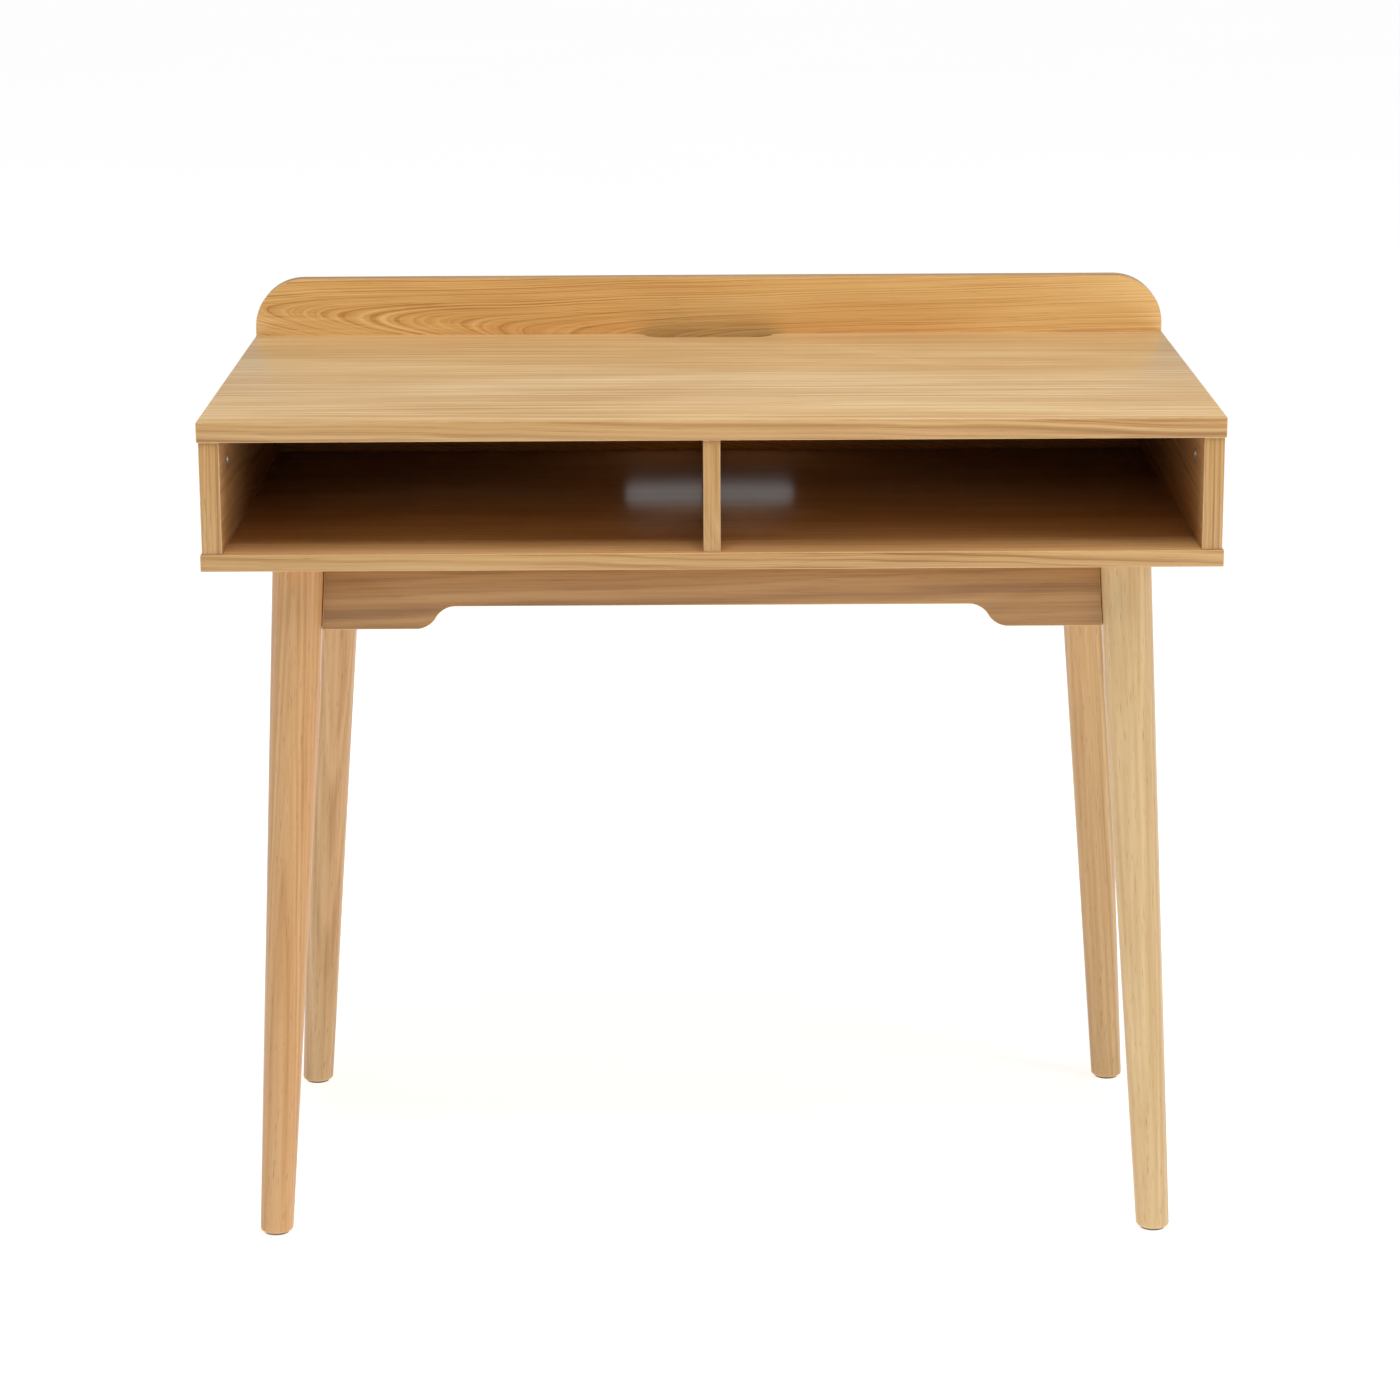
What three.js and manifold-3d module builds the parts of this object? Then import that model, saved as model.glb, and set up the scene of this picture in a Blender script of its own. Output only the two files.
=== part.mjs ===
// A writing desk with two open compartments under the desktop, an upstand along the back and four round,
// tapered legs that lean outwards. It is flat-pack furniture: six panels held by cams, dowels and screws, on
// an underframe of four aprons and four legs with a bolted steel bracket in each corner.
// Millimetres. X is to the sitter's right, Y towards the wall, Z up. The origin is on the floor, under the
// centre of the desktop and back board. The front of the desk faces -Y.

import * as THREE from "three";
import { mergeVertices } from "three/addons/utils/BufferGeometryUtils.js";
import Module from "manifold-3d";

// ---------------------------------------------------------------- driving dimensions

// The whole desk
const deskWidth = 900;
const deskDepth = 520;
const deskHeight = 770; // floor to writing surface

// Panels
const topThickness = 18;
const sideThickness = 18;
const backThickness = 18;
const baseThickness = 15;
const dividerThickness = 15;
const compartmentHeight = 100;
const reveal = 1.5; // side panels and divider stand this far inside the edges of the desktop

// Upstand: the part of the back board above the desktop
const upstandHeight = 56;
const upstandRadius = 48;

// The ogee, an S of two equal arcs, that ends the cable notch and the cut-outs of the aprons
const ogeeWidth = 34;

// Cable notch in the desktop's rear edge, and cable port in the back board
const notchFlat = 90;
const notchDepth = 26;
const portWidth = 174;
const portHeight = 60;
const portRadius = 15;

// Aprons
const apronThickness = 15;
const apronHeight = 62;
const apronCutDepth = 20.5;
const longApronShoulder = 85; // full-height length at each end
const sideApronShoulder = 50;

// Legs and glides
const legTopRadius = 24.5;
const legFootRadius = 15.25;
const legSideInset = 83; // leg axis to the desk's side, at the leg's top
const legEndInset = 49; // leg axis to the desk's front or rear
const legLean = 40; // how far the foot stands outside the leg's top
const legFlatOffset = 21.7; // leg axis to the milled flats that the aprons butt against
const legFlatLength = 90; // leg top to where the flats begin to run out
const flatCutterRadius = 400; // of the round run-out that the cutter leaves
const footRounding = 2.5;
const glideThickness = 2.5;
const glideRadius = 11.5;
const glideEdge = 0.8;
const nailRadius = 1.25;
const nailLength = 15;

// Fit between pieces
const gap = 0.3; // all round a fastener in its hole, and between steel and wood
const apronSeam = 0.6; // between an apron's end and the leg's flat
const holeSpare = 1; // how much deeper a blind hole is than what it holds

// Dowels
const dowelRadius = 4;
const dowelLength = 30;
const dowelInset = 120; // from the front or rear end of the panel that it stands in
const depthInTop = 11; // how deep a dowel or a cam bolt goes into the desktop's underside

// Cam fittings that hold the desktop on the side panels
const camRadius = 7.2;
const camDepth = 12.5;
const camDrop = 26; // cam centre below the top edge of its panel
const camInset = 60; // cam centre from the front or rear end of the panel
const camCrossWidth = 1.6;
const camCrossLength = 9;
const camCrossDepth = 2;
const camBoltRadius = 3;
const camBoltHeadRadius = 3.6;
const camBoltHeadLength = 3;

// Panel screws
const screwLength = 50;
const screwRadius = 3.2;
const screwHeadRadius = 5;
const screwHeadLength = 4;
const screwSocketRadius = 2.2;
const screwSocketDepth = 2.5;
const baseScrewInset = 55; // from the front or rear end of the side panels
const backScrewInset = 25; // from the side panel's top or bottom edge
const topScrewPlace = 250; // from the desk's centre

// Corner brackets and their hanger bolts
const bracketThickness = 2;
const bracketHeight = 44;
const bracketFlange = 24;
const bracketReach = 38; // leg axis to where the web meets the apron, along the apron
const bracketScrewRadius = 2.3;
const bracketScrewSpread = 24;
const boltRadius = 4;
const boltDepthInLeg = 36;
const boltTail = 6; // bolt beyond its nut
const nutAcross = 13;
const nutThickness = 6.5;
const nutFlangeRadius = 9;
const nutFlangeThickness = 1.5;

// Angle brackets that tie the long aprons to the base panel
const angleLeg = 28;
const angleWidth = 30;
const angleThickness = 2;
const anglePlace = 150; // from the desk's centre
const angleScrewSpread = 16;

// Facets of round pieces
const legSegments = 40;
const smallSegments = 12;
const arcSteps = 8;

// ---------------------------------------------------------------- places worked out from them

const halfWidth = deskWidth / 2;
const front = -deskDepth / 2;
const rear = deskDepth / 2;
const backFace = rear - backThickness; // front face of the back board
const topUnderside = deskHeight - topThickness;
const baseTop = topUnderside - compartmentHeight;
const legTop = baseTop - baseThickness;
const apronBottom = legTop - apronHeight;
const apronMiddle = legTop - apronHeight / 2;
const backTop = deskHeight + upstandHeight;
const panelFront = front + reveal;
const sideCentre = halfWidth - reveal - sideThickness / 2;
const legAxisTopX = halfWidth - legSideInset;
const legAxisY = deskDepth / 2 - legEndInset;
const legHeight = legTop - glideThickness;
const leanPerHeight = legLean / legHeight;
const legAxisX = (z) => legAxisTopX + (legTop - z) * leanPerHeight;
const footX = legAxisX(glideThickness);
const camZ = topUnderside - camDrop;
const bracketX = legAxisX(apronMiddle);

// ---------------------------------------------------------------- materials

const finish = (colour, roughness, metalness) =>
  new THREE.MeshStandardMaterial({ color: colour, roughness, metalness });
const panelOak = finish(0xc89a60, 0.5, 0);
const legWood = finish(0xd6ab74, 0.5, 0);
const dowelBeech = finish(0xd9b688, 0.7, 0);
const zincSteel = finish(0xb9bcc0, 0.35, 1);
const bracketSteel = finish(0xa9adb1, 0.45, 1);
const glidePlastic = finish(0x857b70, 0.6, 0);

// ---------------------------------------------------------------- solids

const wasm = await Module();
wasm.setup();

// A 32-bit number holds this grid exactly, so faces that meet in two pieces lie on one plane.
const gridSteps = 1024;
const onGrid = (v) => Math.round(v * gridSteps) / gridSteps;

function solidOf(geometry) {
  const plain = geometry.clone();
  plain.deleteAttribute("normal");
  plain.deleteAttribute("uv");
  const merged = mergeVertices(plain, 1e-4);
  const vertProperties = new Float32Array(merged.attributes.position.array);
  const triVerts = new Uint32Array(merged.index.array);
  return new wasm.Manifold(new wasm.Mesh({ numProp: 3, vertProperties, triVerts }));
}

// A box from its two corners.
function block(x0, y0, z0, x1, y1, z1) {
  const box = new THREE.BoxGeometry(x1 - x0, y1 - y0, z1 - z0);
  box.translate((x0 + x1) / 2, (y0 + y1) / 2, (z0 + z1) / 2);
  return solidOf(box);
}

// A solid of revolution. Its profile is a list of [radius, distance along the axis] from tip to end.
function turned(profile, start, direction, segments = smallSegments) {
  const points = profile.map(([radius, along]) => new THREE.Vector2(radius, along));
  const shape = new THREE.LatheGeometry(points, segments);
  const turn = new THREE.Quaternion().setFromUnitVectors(
    new THREE.Vector3(0, 1, 0),
    direction.clone().normalize(),
  );
  shape.applyQuaternion(turn);
  shape.translate(start.x, start.y, start.z);
  return solidOf(shape);
}

// A plain round rod or hole.
function rod(start, direction, radius, length, segments = smallSegments) {
  return turned([[0, 0], [radius, 0], [radius, length], [0, length]], start, direction, segments);
}

// A flat outline given a thickness. Plan outlines rise along Z, front outlines go back along Y, and end
// outlines, drawn as (Y, Z), go along X.
function plate(outline, thickness, start, lies = "plan") {
  const shape = new THREE.ExtrudeGeometry(outline, {
    depth: thickness,
    bevelEnabled: false,
    curveSegments: arcSteps,
  });
  const toFront = new THREE.Matrix4().set(1, 0, 0, 0, 0, 0, 1, 0, 0, 1, 0, 0, 0, 0, 0, 1);
  const toEnd = new THREE.Matrix4().set(0, 0, 1, 0, 1, 0, 0, 0, 0, 1, 0, 0, 0, 0, 0, 1);
  if (lies === "front") {
    shape.applyMatrix4(toFront);
    flipFaces(shape);
    shape.translate(0, start, 0);
  } else if (lies === "end") {
    shape.applyMatrix4(toEnd);
    shape.translate(start, 0, 0);
  } else {
    shape.translate(0, 0, start);
  }
  return solidOf(shape);
}

// Turns every triangle round, after an exchange of two axes has turned the shape inside out.
function flipFaces(geometry) {
  const p = geometry.attributes.position;
  const a = new THREE.Vector3();
  const c = new THREE.Vector3();
  for (let i = 0; i < p.count; i += 3) {
    a.fromBufferAttribute(p, i);
    c.fromBufferAttribute(p, i + 2);
    p.setXYZ(i, c.x, c.y, c.z);
    p.setXYZ(i + 2, a.x, a.y, a.z);
  }
}

const cut = (solid, holes) => holes.reduce((left, hole) => left.subtract(hole), solid);
const v3 = (x, y, z) => new THREE.Vector3(x, y, z);
const up = v3(0, 0, 1);

// ---------------------------------------------------------------- scene graph

const desk = new THREE.Group();
const carcass = new THREE.Group();
const underframe = new THREE.Group();
const fasteners = new THREE.Group();
desk.add(carcass, underframe, fasteners);

// Adds a solid to a group as a named mesh whose own origin is the point given.
function addPiece(group, name, solid, material, x, y, z) {
  const made = solid.getMesh();
  const origin = [x, y, z].map(onGrid);
  const positions = new Float32Array(made.numVert * 3);
  for (let i = 0; i < made.numVert; i++)
    for (let axis = 0; axis < 3; axis++)
      positions[3 * i + axis] = onGrid(made.vertProperties[i * made.numProp + axis] - origin[axis]);
  const indexed = new THREE.BufferGeometry();
  indexed.setAttribute("position", new THREE.BufferAttribute(positions, 3));
  indexed.setIndex(new THREE.BufferAttribute(new Uint32Array(made.triVerts), 1));
  const geometry = indexed.toNonIndexed();
  geometry.computeVertexNormals();
  const mesh = new THREE.Mesh(geometry, material);
  mesh.name = name;
  mesh.position.set(...origin);
  group.add(mesh);
}

const sides = [["left", -1], ["right", 1]];
const ends = [["front", -1], ["rear", 1]];
const corners = ends.flatMap(([end, endSign]) =>
  sides.map(([side, sideSign]) => ({ name: `${end}_${side}`, endSign, sideSign })));

// ---------------------------------------------------------------- outlines

// Draws an ogee from the outline's pen at (x, y). It is level at both ends, and moves by run and by depth.
function ogee(outline, x, y, run, depth) {
  const angle = 2 * Math.atan(Math.abs(depth / run));
  const radius = Math.abs(run) / 2 / Math.sin(angle);
  const clockwise = run * depth < 0;
  const start = -Math.sign(depth) * Math.PI / 2;
  const end = start + (clockwise ? -angle : angle);
  const lift = Math.sign(depth) * radius;
  outline.absarc(x, y + lift, radius, start, end, clockwise);
  outline.absarc(x + run, y + depth - lift, radius, end + Math.PI, start + Math.PI, !clockwise);
}

function desktopOutline() {
  const outline = new THREE.Shape();
  outline.moveTo(-halfWidth, front);
  outline.lineTo(halfWidth, front);
  outline.lineTo(halfWidth, backFace);
  outline.lineTo(notchFlat / 2 + ogeeWidth, backFace);
  ogee(outline, notchFlat / 2 + ogeeWidth, backFace, -ogeeWidth, -notchDepth);
  outline.lineTo(-notchFlat / 2, backFace - notchDepth);
  ogee(outline, -notchFlat / 2, backFace - notchDepth, -ogeeWidth, notchDepth);
  outline.lineTo(-halfWidth, backFace);
  return outline;
}

function backBoardOutline() {
  const arcX = halfWidth - upstandRadius;
  const arcZ = backTop - upstandRadius;
  const outline = new THREE.Shape();
  outline.moveTo(-halfWidth, baseTop);
  outline.lineTo(halfWidth, baseTop);
  outline.lineTo(halfWidth, arcZ);
  outline.absarc(arcX, arcZ, upstandRadius, 0, Math.PI / 2, false);
  outline.lineTo(-arcX, backTop);
  outline.absarc(-arcX, arcZ, upstandRadius, Math.PI / 2, Math.PI, false);
  outline.lineTo(-halfWidth, baseTop);
  outline.holes.push(portOutline());
  return outline;
}

function portOutline() {
  const x = portWidth / 2 - portRadius;
  const bottom = baseTop + (compartmentHeight - portHeight) / 2 + portRadius;
  const top = bottom + portHeight - 2 * portRadius;
  const hole = new THREE.Path();
  hole.absarc(x, top, portRadius, 0, Math.PI / 2, false);
  hole.absarc(-x, top, portRadius, Math.PI / 2, Math.PI, false);
  hole.absarc(-x, bottom, portRadius, Math.PI, Math.PI * 1.5, false);
  hole.absarc(x, bottom, portRadius, Math.PI * 1.5, Math.PI * 2, false);
  return hole;
}

// An apron whose lower edge steps up between two shoulders. Its ends may lean with the legs.
function apronOutline(halfTop, halfBottom, shoulder) {
  const inner = halfBottom - shoulder;
  const outline = new THREE.Shape();
  outline.moveTo(-halfTop, legTop);
  outline.lineTo(-halfBottom, apronBottom);
  outline.lineTo(-inner, apronBottom);
  ogee(outline, -inner, apronBottom, ogeeWidth, apronCutDepth);
  outline.lineTo(inner - ogeeWidth, apronBottom + apronCutDepth);
  ogee(outline, inner - ogeeWidth, apronBottom + apronCutDepth, ogeeWidth, -apronCutDepth);
  outline.lineTo(halfBottom, apronBottom);
  outline.lineTo(halfTop, legTop);
  return outline;
}

// ---------------------------------------------------------------- fasteners and the holes that they need

const screwProfile = (spare) => [
  [0, -spare],
  [screwHeadRadius + spare, -spare],
  [screwHeadRadius + spare, screwHeadLength / 2 + spare],
  [screwRadius + spare, screwHeadLength + spare],
  [screwRadius + spare, screwLength - screwRadius],
  [0, screwLength + (spare ? holeSpare : 0)],
];

const forward = v3(0, -1, 0);
const panelScrews = [];
for (const [place, x] of [["left", -sideCentre], ["right", sideCentre], ["divider", 0]])
  panelScrews.push(
    { name: `base_screw_${place}_front`, at: v3(x, panelFront + baseScrewInset, legTop), to: up },
    { name: `base_screw_${place}_rear`, at: v3(x, backFace - baseScrewInset, legTop), to: up },
  );
for (const [side, sign] of sides)
  for (const [level, x, z] of [
    ["lower", sideCentre, baseTop + backScrewInset],
    ["upper", sideCentre, topUnderside - backScrewInset],
    ["top", topScrewPlace, deskHeight - topThickness / 2],
  ])
    panelScrews.push({ name: `back_screw_${side}_${level}`, at: v3(sign * x, rear, z), to: forward });
const screwHoles = panelScrews.map(({ at, to }) => turned(screwProfile(gap), at, to));

const dowelBottom = topUnderside + depthInTop - dowelLength;
const dowels = [["left", -sideCentre], ["right", sideCentre], ["divider", 0]].flatMap(([place, x]) => [
  { name: `dowel_${place}_front`, at: v3(x, panelFront + dowelInset, dowelBottom) },
  { name: `dowel_${place}_rear`, at: v3(x, backFace - dowelInset, dowelBottom) },
]);
const dowelHoles = dowels.map(({ at }) =>
  rod(v3(at.x, at.y, at.z - holeSpare), up, dowelRadius + gap, dowelLength + 2 * holeSpare));

const cams = sides.flatMap(([side, sign]) =>
  [["front", panelFront + camInset], ["rear", backFace - camInset]].map(([end, y]) => ({
    name: `${side}_${end}`,
    sign,
    y,
    face: sign * (sideCentre - sideThickness / 2),
  })));
const camBoltBottom = camZ - camBoltHeadLength;
const camHoles = cams.flatMap(({ sign, y, face }) => [
  rod(v3(face - sign * gap, y, camZ), v3(sign, 0, 0), camRadius + gap, camDepth + 2 * gap),
  rod(v3(sign * sideCentre, y, camBoltBottom - gap), up, camBoltHeadRadius + gap,
    camDrop + camBoltHeadLength + depthInTop + holeSpare),
]);

const hangerDirection = (sideSign, endSign) => v3(-sideSign, -endSign, 0).normalize();
const legAxisPoint = (sideSign, endSign, z) => v3(sideSign * legAxisX(z), endSign * legAxisY, z);
// Leg axis to the near face of the bracket's web, along the bolt.
const webDistance = (bracketReach + apronThickness / 2 + gap) / Math.SQRT2;
const legSurface = legTopRadius - (legTopRadius - legFootRadius) * (legTop - apronMiddle) / legHeight;
const boltStart = legSurface - boltDepthInLeg;
const nutSeat = webDistance + bracketThickness + gap;
const nutHeight = nutFlangeThickness + nutThickness;
const boltEnd = nutSeat + nutHeight + boltTail;

// ---------------------------------------------------------------- carcass

addPiece(carcass, "desktop",
  cut(plate(desktopOutline(), topThickness, topUnderside), [...screwHoles, ...dowelHoles, ...camHoles]),
  panelOak, 0, 0, topUnderside);

addPiece(carcass, "base_panel",
  cut(block(-halfWidth, front, legTop, halfWidth, rear, baseTop), screwHoles),
  panelOak, 0, 0, legTop);

addPiece(carcass, "back_board",
  cut(plate(backBoardOutline(), backThickness, backFace, "front"), screwHoles),
  panelOak, 0, backFace, baseTop);

for (const [side, sign] of sides) {
  const outer = sign * (halfWidth - reveal);
  const inner = outer - sign * sideThickness;
  const left = Math.min(inner, outer);
  const panel = block(left, panelFront, baseTop, left + sideThickness, backFace, topUnderside);
  addPiece(carcass, `${side}_side_panel`, cut(panel, [...screwHoles, ...dowelHoles, ...camHoles]),
    panelOak, sign * sideCentre, panelFront, baseTop);
}

addPiece(carcass, "centre_divider",
  cut(block(-dividerThickness / 2, panelFront, baseTop, dividerThickness / 2, backFace, topUnderside),
    [...screwHoles, ...dowelHoles]),
  panelOak, 0, panelFront, baseTop);

// ---------------------------------------------------------------- underframe

for (const [end, sign] of ends) {
  const halfAt = (z) => legAxisX(z) - legFlatOffset - apronSeam;
  const outline = apronOutline(halfAt(legTop), halfAt(apronBottom), longApronShoulder);
  const y = sign * legAxisY;
  addPiece(underframe, `${end}_apron`,
    plate(outline, apronThickness, y - apronThickness / 2, "front"),
    panelOak, 0, y, legTop);
}

for (const [side, sign] of sides) {
  const half = legAxisY - legFlatOffset - apronSeam;
  const x = sign * bracketX;
  addPiece(underframe, `${side}_apron`,
    plate(apronOutline(half, half, sideApronShoulder), apronThickness, x - apronThickness / 2, "end"),
    panelOak, x, 0, legTop);
}

// The path of the cutter that mills a flat on a leg, beside the leg's axis and up from its foot.
function flatOutline(sign) {
  const start = legHeight - legFlatLength;
  const outside = 2 * legTopRadius;
  const runOut = Math.acos(1 - legTopRadius / flatCutterRadius);
  const outline = new THREE.Shape();
  outline.moveTo(sign * legFlatOffset, legHeight + 1);
  outline.lineTo(sign * legFlatOffset, start);
  for (let i = 1; i <= arcSteps; i++) {
    const angle = (i / arcSteps) * runOut;
    outline.lineTo(
      sign * (legFlatOffset + flatCutterRadius * (1 - Math.cos(angle))),
      start - flatCutterRadius * Math.sin(angle),
    );
  }
  outline.lineTo(sign * outside, start);
  outline.lineTo(sign * outside, legHeight + 1);
  return outline;
}

// A leg is turned upright, given two flats for the aprons, and then leant outwards, so that its top and its
// foot stay level.
function leg(sideSign, endSign) {
  const profile = [[0, 0]];
  const roundingSteps = arcSteps / 2;
  for (let i = 0; i <= roundingSteps; i++) {
    const angle = (i / roundingSteps) * (Math.PI / 2);
    profile.push([
      legFootRadius - footRounding * (1 - Math.sin(angle)),
      footRounding * (1 - Math.cos(angle)),
    ]);
  }
  profile.push([legTopRadius, legHeight], [0, legHeight]);
  const wide = 4 * legTopRadius;
  const flats = [
    plate(flatOutline(-sideSign), wide, -wide / 2, "front"),
    plate(flatOutline(-endSign), wide, -wide / 2, "end"),
  ];
  const leant = cut(turned(profile, v3(0, 0, 0), up, legSegments), flats).warp((p) => {
    p[0] += sideSign * (footX - leanPerHeight * p[2]);
    p[1] += endSign * legAxisY;
    p[2] += glideThickness;
  });
  const along = hangerDirection(sideSign, endSign);
  const boltEntry = legAxisPoint(sideSign, endSign, apronMiddle).addScaledVector(along, boltStart - holeSpare);
  const boltHole = rod(boltEntry, along, boltRadius + gap, boltDepthInLeg + legTopRadius);
  const nailHole = rod(v3(sideSign * footX, endSign * legAxisY, glideThickness - holeSpare), up,
    nailRadius + gap, nailLength + 2 * holeSpare);
  return cut(leant, [boltHole, nailHole]);
}

function glide(sideSign, endSign) {
  const profile = [
    [0, 0], [glideRadius - glideEdge, 0], [glideRadius, glideEdge], [glideRadius, glideThickness],
    [nailRadius, glideThickness], [nailRadius, glideThickness + nailLength - nailRadius],
    [0, glideThickness + nailLength],
  ];
  return turned(profile, v3(sideSign * footX, endSign * legAxisY, 0), up);
}

// Plan of a corner bracket for the corner where both signs are +1, drawn about the leg's axis: a flange
// along the side apron, a web across the corner and a flange along the long apron.
function bracketPlan() {
  const face = apronThickness / 2 + gap;
  const back = face + bracketThickness;
  const bend = bracketThickness * Math.tan(Math.PI / 8);
  const plan = new THREE.Shape();
  plan.moveTo(-face, -bracketReach - bracketFlange);
  plan.lineTo(-face, -bracketReach);
  plan.lineTo(-bracketReach, -face);
  plan.lineTo(-bracketReach - bracketFlange, -face);
  plan.lineTo(-bracketReach - bracketFlange, -back);
  plan.lineTo(-bracketReach - bend, -back);
  plan.lineTo(-back, -bracketReach - bend);
  plan.lineTo(-back, -bracketReach - bracketFlange);
  return plan;
}

function cornerBracket(sideSign, endSign) {
  const middle = bracketReach + bracketFlange / 2;
  const face = apronThickness / 2;
  const screwHolesInFlanges = [-1, 1].flatMap((level) => {
    const z = level * bracketScrewSpread / 2;
    return [
      rod(v3(-face - 2 * bracketThickness, -middle, z), v3(1, 0, 0), bracketScrewRadius, 4 * bracketThickness),
      rod(v3(-middle, -face - 2 * bracketThickness, z), v3(0, 1, 0), bracketScrewRadius, 4 * bracketThickness),
    ];
  });
  const boltHole = rod(v3(0, 0, 0), v3(-1, -1, 0), boltRadius + 2 * gap, boltEnd);
  const upright = cut(plate(bracketPlan(), bracketHeight, -bracketHeight / 2), [
    boltHole, ...screwHolesInFlanges]);
  return upright
    .scale([sideSign, endSign, 1])
    .translate([sideSign * bracketX, endSign * legAxisY, apronMiddle]);
}

function hangerBolt(sideSign, endSign) {
  const length = boltEnd - boltStart;
  const profile = [
    [0, 0], [boltRadius / 2, boltRadius], [boltRadius, 2 * boltRadius],
    [boltRadius, length - 1], [boltRadius - 1, length], [0, length],
  ];
  const along = hangerDirection(sideSign, endSign);
  const start = legAxisPoint(sideSign, endSign, apronMiddle).addScaledVector(along, boltStart);
  return turned(profile, start, along);
}

function flangeNut(sideSign, endSign) {
  const along = hangerDirection(sideSign, endSign);
  const seat = legAxisPoint(sideSign, endSign, apronMiddle).addScaledVector(along, nutSeat);
  const body = seat.clone().addScaledVector(along, nutFlangeThickness / 2);
  const hexRadius = nutAcross / Math.sqrt(3);
  const flange = rod(seat, along, nutFlangeRadius, nutFlangeThickness);
  const hexagon = rod(body, along, hexRadius, nutHeight - nutFlangeThickness / 2, 6);
  const bore = rod(seat.clone().addScaledVector(along, -1), along, boltRadius + gap, nutHeight + 2);
  return flange.add(hexagon).subtract(bore);
}

for (const { name, sideSign, endSign } of corners) {
  const x = sideSign * bracketX;
  const y = endSign * legAxisY;
  addPiece(underframe, `${name}_leg`, leg(sideSign, endSign), legWood, sideSign * legAxisTopX, y, legTop);
  addPiece(underframe, `${name}_glide`, glide(sideSign, endSign), glidePlastic, sideSign * footX, y, 0);
  addPiece(underframe, `${name}_corner_bracket`, cornerBracket(sideSign, endSign), bracketSteel,
    x, y, apronMiddle);
  addPiece(fasteners, `${name}_hanger_bolt`, hangerBolt(sideSign, endSign), zincSteel, x, y, apronMiddle);
  addPiece(fasteners, `${name}_flange_nut`, flangeNut(sideSign, endSign), zincSteel, x, y, apronMiddle);
}

// An angle bracket stands inside a long apron and lies against the base panel's underside.
function angleBracket(sideSign, endSign) {
  const face = legAxisY - apronThickness / 2 - gap;
  const top = legTop - gap;
  const profile = new THREE.Shape();
  profile.moveTo(face, top);
  profile.lineTo(face - angleLeg, top);
  profile.lineTo(face - angleLeg, top - angleThickness);
  profile.lineTo(face - angleThickness, top - angleThickness);
  profile.lineTo(face - angleThickness, top - angleLeg);
  profile.lineTo(face, top - angleLeg);
  const x = sideSign * anglePlace;
  const place = (angleLeg + angleThickness) / 2;
  const holes = [-1, 1].flatMap((step) => {
    const screwX = x + step * angleScrewSpread / 2;
    return [
      rod(v3(screwX, face - place, top - 2 * angleThickness), up, bracketScrewRadius, 4 * angleThickness),
      rod(v3(screwX, face - 2 * angleThickness, top - place), v3(0, 1, 0), bracketScrewRadius,
        4 * angleThickness),
    ];
  });
  return cut(plate(profile, angleWidth, x - angleWidth / 2, "end"), holes).scale([1, endSign, 1]);
}

for (const { name, sideSign, endSign } of corners)
  addPiece(underframe, `${name}_angle_bracket`, angleBracket(sideSign, endSign), bracketSteel,
    sideSign * anglePlace, endSign * legAxisY, legTop);

// ---------------------------------------------------------------- cams, cam bolts, dowels and screws

// A cam is a disc with a driver cross in its face and a channel from its rim for the bolt's head.
function cam({ sign, y, face }) {
  const disc = rod(v3(face, y, camZ), v3(sign, 0, 0), camRadius, camDepth);
  const half = camCrossLength / 2;
  const thin = camCrossWidth / 2;
  const cross = [[half, thin], [thin, half]].map(([dy, dz]) =>
    block(face - camCrossDepth, y - dy, camZ - dz, face + camCrossDepth, y + dy, camZ + dz));
  const channel = rod(v3(sign * sideCentre, y, camBoltBottom - gap), up, camBoltHeadRadius + gap,
    camRadius + camBoltHeadLength + 2 * gap);
  return cut(disc, [...cross, channel]);
}

function camBolt({ sign, y }) {
  const length = camBoltHeadLength + camDrop + depthInTop;
  const neck = camBoltRadius * 0.7;
  const profile = [
    [0, 0], [camBoltHeadRadius, 0], [camBoltHeadRadius, camBoltHeadLength], [neck, camBoltHeadLength + 1],
    [neck, 2 * camBoltHeadLength], [camBoltRadius, 2 * camBoltHeadLength + 1], [camBoltRadius, length],
    [0, length],
  ];
  return turned(profile, v3(sign * sideCentre, y, camBoltBottom), up);
}

for (const each of cams) {
  addPiece(fasteners, `cam_${each.name}`, cam(each), zincSteel, each.face, each.y, camZ);
  addPiece(fasteners, `cam_bolt_${each.name}`, camBolt(each), zincSteel,
    each.sign * sideCentre, each.y, camZ);
}

for (const { name, at } of dowels)
  addPiece(fasteners, name, rod(at, up, dowelRadius, dowelLength), dowelBeech, at.x, at.y, at.z);

for (const { name, at, to } of panelScrews) {
  const socket = rod(at.clone().addScaledVector(to, -1), to, screwSocketRadius, screwSocketDepth + 1, 6);
  addPiece(fasteners, name, turned(screwProfile(0), at, to).subtract(socket), zincSteel, at.x, at.y, at.z);
}

export default desk;
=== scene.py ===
# %% [markdown]
# # A writing desk, piece by piece
#
# This lesson builds the visible surface of a small writing desk: six laminated boards that make two open
# compartments, four boards underneath that tie four turned legs together, and the steel that holds it all.
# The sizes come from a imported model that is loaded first, so every piece made here lands where it belongs.

# %% Load the frame
import math

import bmesh
import bpy
from mathutils import Matrix, Vector


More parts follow.
